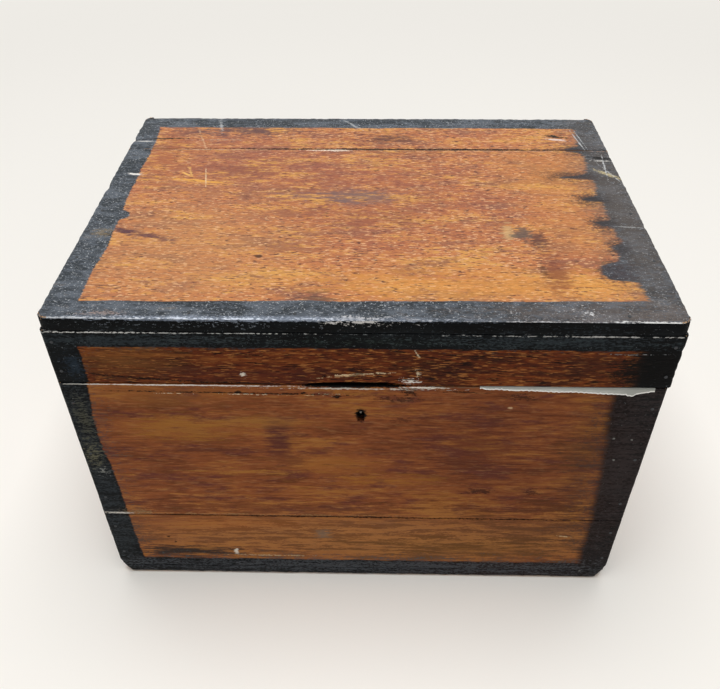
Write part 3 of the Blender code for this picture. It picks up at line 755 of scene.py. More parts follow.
# What stained the wood before the border was painted
TOP_STAINS = (
    patch(-200, 138, -60, 20, "#8E5448", 0.38, 1.1, 1.4),
    patch(-100, 70, 60, 20, "#8E5444", 0.35, 1.1),
    patch(-166, 148, -88, 127, "#4C3C40", 0.8, 0.9, 1.4),
    patch(-139.5, 62.5, -88.7, 41.5, "#7D4A3E", 0.6, 0.9, 1.3),
    patch(-204.5, 109.3, -174.2, 39.7, "#9A5A3A", 0.5, 0.9, 1.3),
    patch(-74.4, -15.1, -57.4, -30, "#7D4A3E", 0.65, 0.8, 1.3),
    patch(-49.6, -10.2, -36.6, -25.1, "#7D4A3E", 0.6, 0.8, 1.3),
    patch(-11.8, -27.1, 4.2, -43.9, "#7D4A3E", 0.6, 0.8, 1.3),
    patch(-77.1, -67.7, -41.2, -85.6, "#7D4A3E", 0.55, 0.9, 1.3),
    patch(-59.8, 29.5, 59.7, -49.9, "#94563E", 0.42, 1, 1.3),
    patch(-19.6, 118.8, 3.3, 104.8, "#7D4A3E", 0.55, 0.8, 1.3),
    patch(22.4, -103.4, 39.3, -114.3, "#7D4A3E", 0.6, 0.8, 1.3),
    patch(101.1, -26.2, 122, -45, "#7D4A3E", 0.55, 0.8, 1.3),
    patch(-206.7, -19.9, -88.6, -139.2, "#BE8C5A", 0.4, 1, 1.3),
    patch(138.1, 88.7, 203.7, 9.3, "#C08448", 0.5, 1, 1.3),
    patch(148.4, -0.5, 204.3, -89.6, "#BC7E48", 0.45, 1, 1.3),
    patch(-2.4, -109.4, 188.8, -141, "#DC9A44", 0.5),
    line(-70, 7, -24, 2, 8, "#74585A", 0.65, 0.9, 1.2),
    patch(-30, 15, 19, -5, "#6A5C5C", 0.7, 1, 1.1),
    line(-205.6, -46.8, -186.6, -60.7, 6.5, "#4B2D38", 0.85, 0.6, 0.8),
    line(-189.6, -54.8, -159.6, -64.7, 6, "#4B2D3A", 0.8, 0.7, 0.8),
    patch(1, 129, 42, 113, "#4E3430", 0.75, 0.8, 1.4),
    patch(-50.8, -138.2, -24, -148.1, "#4B3A38", 0.7, 0.7),
    patch(137, -73.7, 152.2, -130.2, "#75402F", 0.75, 0.9, 1.3),
    patch(133.9, -56.9, 145.9, -75.7, "#4E3430", 0.8, 0.7, 1.3),
    patch(112.1, -42, 121.1, -59.9, "#C4A070", 0.8, 0.5, 1),
    patch(121, -45, 133, -59.9, "#564C46", 0.85, 0.5, 1),
    patch(133.2, -96.5, 138.2, -113.3, "#3B241A", 0.6, 0.5, 2.2),
    Mark(-81.4, -88, 2.2, 1.6, "#3A2218", 0.85),
    line(-179.2, 37.7, -135.3, 29.7, 3, "#E8AC4C", 0.7, 0.5, 2),
    line(-169.3, 49.6, -159.3, 41.6, 2.2, "#E8B868", 0.85, 0.5, 1.2),
    line(-162.4, 54.6, -157.3, 39.6, 1.8, "#E8B868", 0.6, 0.5),
    patch(-8.6, 96, 78.7, 83.8, "#6E4636", 0.35, 0.9, 2),
)
# What marked the wood and the border since, and a painted highlight along the front arris
TOP_MARKS = (
    patch(194, 152, 236, -172, "#5A514B", 0.62, 1, 0.8),
    patch(100, -147, 236, -172, "#6A5F59", 0.5, 0.9, 1.2),
    line(-147.4, 53.5, -142.3, 23.7, 1, "#E3C6A0", 0.75, 0.4, 0.9),
    line(-179.5, 95.6, -98.9, 94.8, 1.2, "#D8B89A", 0.7, 0.5),
    line(-157.8, 116.2, -123.9, 116.1, 1.1, "#D8B89A", 0.6, 0.5),
    line(-179.7, 118.2, -100.1, 117, 0.9, "#6B4034", 0.7, 0.4, 1.4),
    line(-92, 96.6, 192, 96.6, 3.6, "#170D09", 1, 0.3, 1, -1),
    line(-54.2, 94.4, -13.5, 94.4, 2.8, "#F0E2D0", 0.95, 0.4, 1),
    line(9.3, 94.3, 187.4, 94.3, 1.2, "#D6A684", 0.6, 0.5, 1.8),
    line(-229, 116.4, -179.7, 119.2, 2.6, "#12100F", 0.95, 0.3, 0.7, -0.9),
    line(-226, 112.4, -208.6, 112.3, 1.6, "#D8D6D2", 0.8, 0.4, 0.8),
    line(-218.1, 45.7, -205.1, 43.7, 3.2, "#ECE8E2", 0.9, 0.3, 0.8),
    patch(-205.9, -157.1, -161, -167, "#A5928A", 0.7, 0.6, 1.2, 0.3),
    patch(-217.5, -52.7, -206.5, -59.7, "#8F7B5A", 0.5, 0.8, 2.2),
    line(-150.6, 159.3, -146.1, 140.2, 2.2, "#C8CACA", 0.6, 0.6, 2),
    line(-166.4, 130.9, -153.7, 94.4, 1.4, "#D9B48C", 0.45, 0.5, 2),
    line(-20.8, 158.5, -8.8, 144.6, 2, "#C8CACA", 0.6, 0.6, 2),
    line(177.4, 128.2, 194.7, 124.7, 5, "#0E0B0A", 1, 0.3, 0.8, -1.2),
    line(177.4, 120.7, 192.2, 117.7, 3.2, "#E6D4CC", 0.9, 0.4, 1.2),
    patch(186, 106.4, 209.2, 88.5, "#24262B", 0.75, 0.9, 1),
    patch(165.7, 99.5, 197.3, 95, "#4A3638", 0.55, 0.9, 1.4),
    patch(166, 52, 204, 37, "#33282A", 0.75, 0.8, 1.2),
    patch(182, 12, 206, -6, "#2C282B", 0.85, 0.8, 1),
    patch(186, -27, 206, -47, "#2C282B", 0.85, 0.8, 1),
    patch(193, -63, 208, -85, "#2C282B", 0.8, 0.8, 1),
    patch(180, -93.5, 202.4, -118, "#332A2E", 0.75, 0.9, 1),
    line(209.2, 82.6, 229, 78.6, 4.2, "#0B0B0C", 1, 0.3, 0.9, -1),
    line(211.2, 75.6, 226, 74.6, 1.6, "#C9C6C0", 0.8, 0.4, 1.4),
    line(213.3, 53.9, 227, 41, 4, "#C9B98E", 0.75, 0.5),
    line(203, 132.1, 208.1, 97.4, 1.1, "#C6C8C9", 0.8, 0.4, 1.2),
    line(206.9, 132, 210.1, 106.3, 0.9, "#C6C8C9", 0.6),
    line(220.7, 76.6, 217.8, 46.9, 1.2, "#C6C8C9", 0.8, 0.4, 1.2),
    line(218.2, 58.8, 229, 29.1, 1.2, "#B4B6B7", 0.6),
    line(204, -41.1, 226, -43.1, 1.1, "#A8AAAA", 0.6, 0.5, 1.4),
    patch(213.5, 21.2, 226, 9.3, "#A4A6A8", 0.6, 0.4, 1.4, 0),
    patch(206.1, -71.8, 218, -85.6, "#A4A6A8", 0.6, 0.4, 1.4, 0),
    patch(203.5, -124.2, 228, -158.8, "#8F9294", 0.6, 0.4, 1.5, 0),
    patch(146, -150.9, 170, -165, "#DDDEDF", 0.85, 0.3, 1.6, 0.25),
    patch(99.9, -154.9, 111.8, -159.9, "#DDDEDF", 0.7, 0.3, 2, 0),
    patch(-28, -162.6, 26, -169.4, "#DAD6D3", 0.95, 0.3, 1.2, 0.5),
    patch(20.7, -165, 60, -169.4, "#CFCBC6", 0.85, 0.3, 1.5, 0.4),
    line(-228, -168, 229, -168.1, 1, "#D2D4D8", 0.85, 0.5, 1.8, 0, 0.5),
    # Painted highlight: a blue-grey band with white specks where the front arris catches the light
    line(-205, -166.8, 45, -166.8, 5, "#838C9B", 0.65, 0.6, 0.8),
    line(-192, -167, -18, -167, 4.2, "#D3DAE6", 0.9, 0.4, 1.3, 0, 0.45),
    patch(-224, -151, -200, -160, "#807C7E", 0.6, 0.5, 1.6, 0),
    line(-229, -166.8, -148.1, -167.6, 1.2, "#C8CACC", 0.6, 0.6, 2.4),
    line(188.9, -167, 228, -167.6, 1.6, "#DEDEDC", 0.85, 0.5, 1.4),
    line(56, -167.8, 192, -167.8, 1.5, "#C6C6C8", 0.8, 0.5, 1.6, 0, 0.6),
)
RAIL_STAINS = (
    patch(-203.5, 284, -140, 258, "#7E5026", 0.6, 1, 1),
    patch(-147.9, 263.2, -38.9, 249, "#4A2018", 0.55),
    patch(139, 282.3, 198, 250, "#3A2012", 0.5, 1, 1.4),
    line(60.1, 263.5, 119.2, 260.6, 4, "#351610", 0.6, 0.8, 2),
    line(99.6, 271.4, 178.4, 269.6, 5, "#351610", 0.55, 0.8, 2),
    line(-202.5, 276, -118.1, 274.1, 3, "#8A5022", 0.5, 0.8, 2.2),
    line(-118.1, 271.2, -19, 269.3, 3, "#8A4A20", 0.4, 0.8, 2.2),
)
RAIL_MARKS = (
    patch(40, 313, 236, 297.4, "#040405", 0.6, 0.5, 0.5),
    patch(192, 292, 238, 245, "#040303", 0.85, 0.6, 0.5),
    patch(-229, 309, 40, 299, "#7E858E", 0.75, 0.3, 2.2, 0.1),
    patch(-229, 295, 229, 284, "#39453F", 0.5, 0.8, 2, 0.3),
    # Painted highlight: a blue-grey strip along the top of the lid's front edge
    line(-200, 308.2, 40, 308, 2.2, "#8A93A2", 0.75, 0.5, 1, 0, 0.7),
    line(-229, 296.3, -150, 296.3, 1, "#E8E6E2", 0.9, 0.4, 1.6, 0, 0.95),
    line(-150, 296.5, -40, 296.5, 0.7, "#DADAD6", 0.85, 0.4, 1.7, 0, 0.7),
    line(-40, 296.5, 100, 296.5, 0.6, "#9DA2A4", 0.6, 0.4, 1.9, 0, 0.3),
    line(100, 296.3, 229, 296.3, 1, "#E4E1DC", 0.9, 0.4, 1.6, 0, 0.8),
    patch(-34, 309.6, 26, 304.5, "#CFCBC7", 0.9, 0.3, 1.4, 0.45),
    line(-229, 308.8, 229, 308.8, 0.8, "#C9CBCC", 0.7, 0.4, 1.8, 0, 0.2),
    # Painted shade: black over the notch for the lock's catch and its inside
    patch(-44, 249.9, -14, 243, "#080605", 1, 0.2, 0.5),
    patch(-24, 250.7, 14, 243, "#080605", 1, 0.2, 0.4),
    patch(2, 250, 34, 243, "#080605", 1, 0.2, 0.5),
    line(-198.6, 255.7, -121.1, 248.9, 1.4, "#120804", 0.9, 0.4, 1.4, -0.6),
    line(-123.1, 249, -40.8, 247.2, 1.8, "#120804", 0.9, 0.4, 1.2, -0.6),
    patch(30.4, 254.1, 40.3, 249.8, "#E4DED4", 0.9, 0.4, 1.4),
    line(-18, 257, 13.6, 259.8, 1.3, "#E6CFA6", 0.9, 0.4, 1.4),
    line(-24, 255.4, 4.7, 257.7, 0.9, "#D8B98A", 0.7, 0.4, 1.8),
    patch(-89.9, 257.9, -86.4, 255.3, "#E6DECF", 0.85, 0.5),
    patch(-7.5, 264.4, 0.7, 256, "#160A05", 0.8, 0.6),
    line(38.4, 281.6, 41, 276.9, 1, "#D9C7A6", 0.75, 0.4, 1.4),
    patch(39.8, 261.9, 42.8, 258.8, "#D9C7A6", 0.7, 0.5, 1.8),
    line(187.9, 279.7, 226, 280.7, 0.7, "#B9BDBE", 0.7, 0.4, 1.6, 0, 0.5),
    line(158.7, 281, 198.1, 279.8, 0.6, "#A9ADAE", 0.5, 0.4, 1.8, 0, 0.4),
    line(186.2, 266.6, 207.9, 272.5, 1.8, "#0A0706", 0.9, 0.4, 1.4, -0.6),
    line(194.1, 260.7, 226, 261.7, 1.4, "#060505", 0.9, 0.4, 1.6, -0.6),
    line(190.2, 274.5, 227, 275.1, 1.2, "#060505", 0.8, 0.4, 1.8, -0.6),
    patch(184.3, 267.6, 201.9, 254.8, "#100906", 0.75, 0.6),
    patch(-216.4, 271, -206.6, 257.2, "#2C3A48", 0.5, 0.8, 2),
    patch(-210.5, 273, -204.5, 263.1, "#8F9698", 0.55, 0.4, 1.5, 0),
    patch(-228, 292.9, -118, 285, "#3A4248", 0.45, 0.9, 2.8),
    patch(89.8, 296.1, 188.3, 287.3, "#3A4248", 0.45, 0.9, 2.8),
)
CASE_STAINS = (
    patch(-206.3, 89, 199.1, 25.9, "#A47044", 0.55, 0.5, 0.5),
    patch(-172, 210, -110, 189, "#A8702F", 0.7, 0.9, 1),
    patch(-122, 212, -50, 203, "#A87234", 0.65, 0.9, 1),
    patch(-202.6, 244, -118.3, 226.6, "#96602E", 0.5, 1, 1.2),
    patch(-75, 200, -58, 170, "#4C2626", 0.75, 0.8, 0.8),
    patch(-54, 166, 0, 150, "#A86C30", 0.55),
    patch(-65, 167.3, -48.2, 155.4, "#5A2C20", 0.6),
    patch(57.8, 200.2, 121.8, 154, "#5A2C20", 0.5, 1),
    line(-205.9, 173.8, -73.8, 174.2, 3, "#5E3226", 0.5, 0.8, 1.8),
    line(-126.5, 147.3, -75.9, 147.4, 3.2, "#B27A36", 0.6, 0.8, 1.8),
    patch(-9.6, 144.2, 44.7, 134.9, "#B0742E", 0.55, 0.9, 1.8),
    patch(160.4, 193.5, 191.7, 163, "#5E3E1E", 0.45, 1, 1.2),
    patch(166.5, 244, 197.2, 32.8, "#45301C", 0.45, 1.1, 0.7),
    patch(136.4, 110.5, 197.4, 96.9, "#4A2814", 0.55, 0.9, 1.4),
    patch(-206.2, 106.4, 29.8, 95.3, "#5E3420", 0.4),
    patch(-190, 84, -70, 70, "#A8642E", 0.5),
    patch(-240, 89, 240, 25, "#5E3618", 0.5, 0.5, 2.6, 0.75),
    patch(-240, 89, 240, 25, "#B0763E", 0.4, 0.5, -2.6, 1.2),
    patch(10, 56, 190, 30, "#63461F", 0.5, 0.9, 1.3),
    patch(120, 88, 199, 60, "#5E3E26", 0.45, 0.9, 1.3),
    patch(-204, 42.5, -124, 28.5, "#262321", 0.9, 0.7, 0.9),
    patch(-40.6, 67.8, -30.7, 59.5, "#7A6A5A", 0.6, 0.6),
)
CASE_MARKS = (
    line(-240, 245.8, -50, 245.8, 1.1, "#E2DED6", 0.9, 0.4, 0.7),
    # Painted shade: black on the rim below the notch, where the gap lies in shadow
    patch(-47, 249.6, -16, 245.3, "#050404", 1, 0.2, 0.5),
    patch(-30, 250.6, 14, 244.6, "#050404", 1, 0.2, 0.4),
    patch(0, 249.8, 35, 245.5, "#050404", 1, 0.2, 0.5),
    line(-48, 243.9, 36, 243.8, 1, "#CFC8BC", 0.85, 0.4, 1.8),
    line(34, 245.7, 60, 245.6, 1.5, "#EDE7DA", 0.95, 0.3, 0.9),
    line(60, 246.4, 90, 246.4, 0.9, "#6A5A48", 0.6, 0.4, 2),
    # Painted shade: black over the keyhole, its rim and its walls
    Mark(-0.9, 216.4, 4.5, 6.9, "#040404", 1, 0.25, 0.3),
    patch(60, 246, 206, 16, "#4E2816", 0.28, 1.2, 0.5),
    line(-159.9, 239.1, -19.1, 237.5, 1.1, "#160A05", 0.9, 0.4, 1.4, -0.5),
    patch(-95.9, 240.1, -91.4, 237.9, "#0E0704", 0.95, 0.4, 1.2),
    patch(-45.8, 239.9, -42.4, 237.9, "#0E0704", 0.95, 0.4, 1),
    patch(-20.6, 236.7, -16.7, 234.1, "#0E0704", 0.95, 0.4, 1.2),
    line(-157.9, 237.3, -121.2, 237, 0.9, "#E2D3B4", 0.8, 0.4, 1.6, 0, 0.45),
    line(-109.3, 237.2, -68.6, 236.9, 1.2, "#E6D8BA", 0.9, 0.4, 1.5, 0, 0.6),
    line(-58.7, 236.5, -29, 236.2, 0.9, "#D8B98A", 0.8, 0.4, 1.6, 0, 0.45),
    line(-38.9, 238.1, 0.7, 237.9, 0.9, "#D8C4A0", 0.8, 0.4, 1.6, 0, 0.45),
    patch(31.8, 242.9, 40.7, 238.1, "#120B07", 0.85, 0.5, 1.8),
    line(34.3, 242.3, 39.2, 242.1, 0.8, "#C9BCA6", 0.7, 0.4, 1.2),
    patch(17.5, 234.7, 36.2, 231.2, "#2E1A10", 0.7, 0.7, 2),
    patch(25.3, 213, 35.2, 209.7, "#4A2A1A", 0.55, 0.7, 2.2),
    Mark(113.7, 225.1, 1.6, 1.2, "#C9A880"),
    patch(116.2, 238.9, 125.1, 234.4, "#2B1A12", 0.7, 0.6, 2),
    line(60, 241.7, 85.6, 241.4, 1.2, "#1C0E08", 0.8, 0.4, 1.6, -0.4),
    patch(91.6, 127.8, 103.9, 123.5, "#2E1810", 0.7, 0.7, 2),
    patch(138.9, 128.3, 146.3, 123.6, "#2E1810", 0.7, 0.7, 2),
    line(-206.3, 89, 194.4, 88.2, 1.6, "#120A07", 0.85, 0.5, 1.1, -0.4),
    patch(-210, 95, -189, 88.5, "#9A8058", 0.55, 0.8, 1.5),
    line(-229, 90.6, -203, 90.4, 2.2, "#E8E4DC", 0.9, 0.4, 1),
    line(-202.3, 90.9, -39.5, 90.9, 0.9, "#B08A5C", 0.5, 0.4, 2),
    patch(-224, 232, -212.5, 182, "#524E38", 0.85, 0.6, 1.8, 0.7),
    patch(-227, 176, -214, 151, "#777050", 0.85, 0.5, 1.8, 0.7),
    patch(-222.5, 153, -210, 138, "#B2B3AC", 0.85, 0.4, 1.5, 0.35),
    patch(-228, 241.3, -212.2, 102.4, "#3B4248", 0.4, 0.9, 3.4),
    patch(-226, 82.5, -208.5, 28, "#33393D", 0.4, 0.9, 3.4),
    Mark(-177.4, 56.1, 1.5, 1.2, "#20120B", 0.9),
    Mark(-171.6, 49, 1.2, 1.1, "#20120B", 0.85),
    patch(-119, 38.8, -115.3, 31.9, "#E2D9C9", 0.85, 0.4, 0.9),
    line(-110.1, 29.8, -60.6, 29.4, 1.1, "#D5BE92", 0.65, 0.5, 2),
    line(175.6, 65.4, 185.5, 63.3, 1.5, "#C9AE86", 0.75, 0.5, 1.2),
    Mark(198.3, 192.7, 0.9, 0.8, "#A9AAA4", 0.75),
    Mark(212.7, 191.8, 0.8, 0.8, "#A9AAA4", 0.75),
    Mark(203.5, 168, 0.9, 0.8, "#A9AAA4", 0.7),
    line(211, 54.6, 220.8, 48.7, 2, "#050505", 0.9, 0.4, 1, -0.6),
    Mark(203.8, 11.8, 1.2, 1.1, "#8F8F88", 0.65),
    patch(197.9, 242, 226, 96, "#383233", 0.5, 0.9, 3),
    # Painted light: a lighter grey-blue band along the foot, where light bounces up from the floor
    patch(-232, 24, 230, 4, "#505358", 0.7, 0.9, 1.8, 0.8),
)

BACK_STAINS = (
    patch(-206, 86, 206, 26, "#9E6A36", 0.45, 0.6, 0.8),
    patch(-202, 236, -64, 148, "#5A2C20", 0.42, 1.1, 1.2),
    patch(8, 240, 192, 188, "#A8703A", 0.5, 1.1, 1.4),
    patch(62, 166, 202, 102, "#5E3020", 0.42, 1.1, 1.4),
    line(-188, 58, -38, 63, 7, "#4A2A1C", 0.5, 0.9),
    line(-120, 132, 40, 128, 6, "#B27A36", 0.5, 0.9),
)
BACK_MARKS = (
    line(-206, 89.4, 204, 89.4, 1.4, "#120A07", 0.85, 0.5, 1.1),
    line(-62, 181, -21, 176, 1.2, "#D8C4A0", 0.65, 0.4, 1.4),
    Mark(112, 142, 2.4, 1.8, "#24140C", 0.85),
    Mark(-150, 204, 2.8, 2, "#24140C"),
    patch(150, 216, 159, 207, "#C9AE86", 0.6, 0.5),
    # Painted light: a lighter band along the foot, as on the front
    patch(-232, 24, 230, 6, "#3F4247", 0.6, 0.9, 1.2),
    patch(207, 190, 226, 60, "#3E4144", 0.5, 0.8, 2),
    line(-226, 246, 226, 246, 1, "#B9B4AA", 0.75, 0.4, 1.7, 0, 0.3),
)
SIDE_STAINS = (
    patch(-147, 86, 146, 24, "#9E6A36", 0.45, 0.6, 0.8),
    patch(-142, 238, 22, 168, "#5A2C20", 0.42, 1.1, 1.3),
    patch(-34, 152, 142, 98, "#A8703A", 0.5, 1.1, 1.4),
    line(-132, 128, -18, 133, 6, "#4A2A1C", 0.5, 0.9),
    line(30, 196, 140, 190, 8, "#5A2C20", 0.5, 0.9),
)
SIDE_MARKS = (
    line(-146, 89.4, 145, 89.4, 1.4, "#120A07", 0.85, 0.5, 1.1),
    line(38, 199, 67, 214, 1.1, "#D8C4A0", 0.7, 0.4, 1.2),
    Mark(-61, 61, 2.2, 1.7, "#24140C", 0.85),
    patch(96, 128, 108, 122, "#3A2014", 0.7, 0.7, 1.8),
    patch(-163, 134, -148, 84, "#6A6D6E", 0.6, 0.4, 1.6, 0),
    patch(148, 232, 163, 170, "#3E4144", 0.5, 0.8, 2),
    line(-160, 246, 160, 246, 1, "#B9B4AA", 0.75, 0.4, 1.7, 0, 0.3),
)


# Shaping


def select_only(*pieces: Object) -> None:
    """Leave edit mode with only these pieces selected, and the first of them active.

    Args:
        pieces: The pieces, or none to clear the selection.
    """
    if bpy.context.mode != "OBJECT":
        bpy.ops.object.mode_set(mode="OBJECT")
    bpy.ops.object.select_all(action="DESELECT")
    for piece in pieces:
        piece.select_set(True)
        bpy.context.view_layer.objects.active = pieces[0]


def lay_block(name: str, low: Sequence[float], high: Sequence[float],
              round_about: Optional[Axis] = None, sides: int = 32) -> Object:
    """Add a block or a round bar that fills a box, with its place in its mesh.

    Args:
        name: The piece's name.
        low: The box's lowest corner, in metres.
        high: The box's highest corner.
        round_about: The axis of a round bar, or none for a block.
        sides: How many sides the bar has.

    Returns:
        The piece, selected and active.
    """
    select_only()
    middle = [(a + b) / 2 for a, b in zip(low, high)]
    size = [b - a for a, b in zip(low, high)]
    if round_about is None:
        bpy.ops.mesh.primitive_cube_add(size=1, location=middle, scale=size)
    else:
        bpy.ops.mesh.primitive_cylinder_add(vertices=sides, radius=0.5, depth=1)
        turns = {Axis.X: (0, math.pi / 2, 0), Axis.Y: (math.pi / 2, 0, 0), Axis.Z: (0, 0, 0)}
        bpy.context.object.rotation_euler = turns[round_about]
        bpy.ops.object.transform_apply(location=False, rotation=True, scale=False)
        bpy.context.object.location, bpy.context.object.scale = middle, size
    piece = bpy.context.object
    piece.name = piece.data.name = name
    bpy.ops.object.transform_apply(location=True, rotation=True, scale=True)
    return piece


def pick(piece: Object, what: str, wanted: Callable[[object], bool],
         keep: bool = False) -> int:
    """Select vertices, edges or faces in edit mode by a test.

    Args:
        piece: The piece in edit mode.
        what: "verts", "edges" or "faces".
        wanted: Says which ones are selected.
        keep: Only narrows what is already selected.

    Returns:
        How many are selected.
    """
    bpy.ops.mesh.select_mode(type={"verts": "VERT", "edges": "EDGE", "faces": "FACE"}[what])
    mesh = bmesh.from_edit_mesh(piece.data)
    items = getattr(mesh, what)
    chosen = [item for item in items if (item.select or not keep) and wanted(item)]
    for item in items:
        item.select_set(False)
    for item in chosen:
        item.select_set(True)
    mesh.select_flush_mode()
    bmesh.update_edit_mesh(piece.data)
    return len(chosen)


def use_modifier(piece: Object, kind: str, **settings: object) -> None:
    """Add a modifier to the active piece and apply it.

    Args:
        piece: The piece.
        kind: The modifier's type.
        settings: The modifier's own attributes.
    """
    bpy.context.view_layer.objects.active = piece
    bpy.ops.object.modifier_add(type=kind)
    modifier = piece.modifiers[-1]
    for name, value in settings.items():
        setattr(modifier, name, value)
    bpy.ops.object.modifier_apply(modifier=modifier.name)


@dataclass(frozen=True)
class Cut:
    """A recess or a hole in a board, in millimetres: the box of a block or of a round bar.

    Its inside is bare, or has the finish of the face that is named as its lining.
    """

    low: Place
    high: Place
    round_about: Optional[Axis] = None
    lining: Optional[Facing] = None

    def holds(self, place: Vector, spare: float = 0.05) -> bool:
        """Whether a place, in metres, lies in its box or within a spare of it."""
        return all(low - spare <= v / MM <= high + spare
                   for v, low, high in zip(place, self.low, self.high))

    def take(self, piece: Object) -> None:
        """Take it out of a piece.

        Args:
            piece: The board.
        """
        cutter = lay_block("cutter", [v * MM for v in self.low], [v * MM for v in self.high],
                           self.round_about)
        select_only(piece)
        use_modifier(piece, "BOOLEAN", operation="DIFFERENCE", solver="EXACT", object=cutter)
        bpy.data.objects.remove(cutter)


@dataclass(frozen=True)
class Dent:
    """A place where the wood is knocked in, in millimetres."""

    at: Place
    push: Place
    reach: float = 6.0


# Where each board is knocked
KNOCKS = {
    "front_lower_board": (Dent((-230, FRONT_Y, 12), (1.4, 0.4, 0.4), 8),
                          Dent((228, FRONT_Y, 12), (-1.4, 0.4, 0.4), 8)),
    "front_upper_board": (Dent((98.9, FRONT_Y, 122.3), (0, 0.9, 0), 7),
                          Dent((144.2, FRONT_Y, 122.3), (0, 0.8, 0)),
                          Dent((36.4, FRONT_Y, 238.5), (0, 0.9, 0), 5)),
    "floor_front_board": (Dent((-228, FRONT_Y, 0), (2.4, 1.0, 2.0), 9),
                          Dent((226, FRONT_Y, 0), (-2.4, 1.0, 2.0), 9)),
    "floor_rear_board": (Dent((-228, BACK_Y, 0), (2.4, -1.0, 2.0), 9),
                         Dent((226, BACK_Y, 0), (-2.4, -1.0, 2.0), 9)),
    "lid_front_rail": (
        *(Dent((230, -166, level), (push, 0, 0), 4)
          for level, push in ((262, -0.7), (271, -0.5), (283, -0.9), (255, -0.5))),
        Dent((-4, FRONT_Y, 258.5), (0, 0.9, 0))),
    "lid_top_front_board": (
        Dent((-18, FRONT_Y, TOP_Z), (0, 1.0, -1.0), 5),
        Dent((4, FRONT_Y, TOP_Z), (0, 1.3, -1.1)), Dent((24, FRONT_Y, TOP_Z), (0, 1.2, -1.2)),
        Dent((46, FRONT_Y, TOP_Z), (0, 0.9, -0.8), 5), Dent((230, 84, 307), (-1.1, 0, -0.7), 5),
        Dent((230, -40, TOP_Z), (-0.5, 0, -0.4), 5), Dent((-230, 20, TOP_Z), (1.0, 0, -0.6), 7)),
    "lid_top_rear_board": (Dent((189, 128, TOP_Z), (0, 0, -1.2)),
                           Dent((-230, 118, TOP_Z), (1.6, 0, -0.8))),
}
WAYS = {
    Facing.LEFT: (0, -1), Facing.RIGHT: (0, 1), Facing.FRONT: (1, -1), Facing.BACK: (1, 1),
    Facing.UNDER: (2, -1), Facing.TOP: (2, 1),
}
ENDS, SEAMS = (Facing.LEFT, Facing.RIGHT), (Facing.TOP, Facing.UNDER)
WALLS = (Facing.FRONT, Facing.BACK)


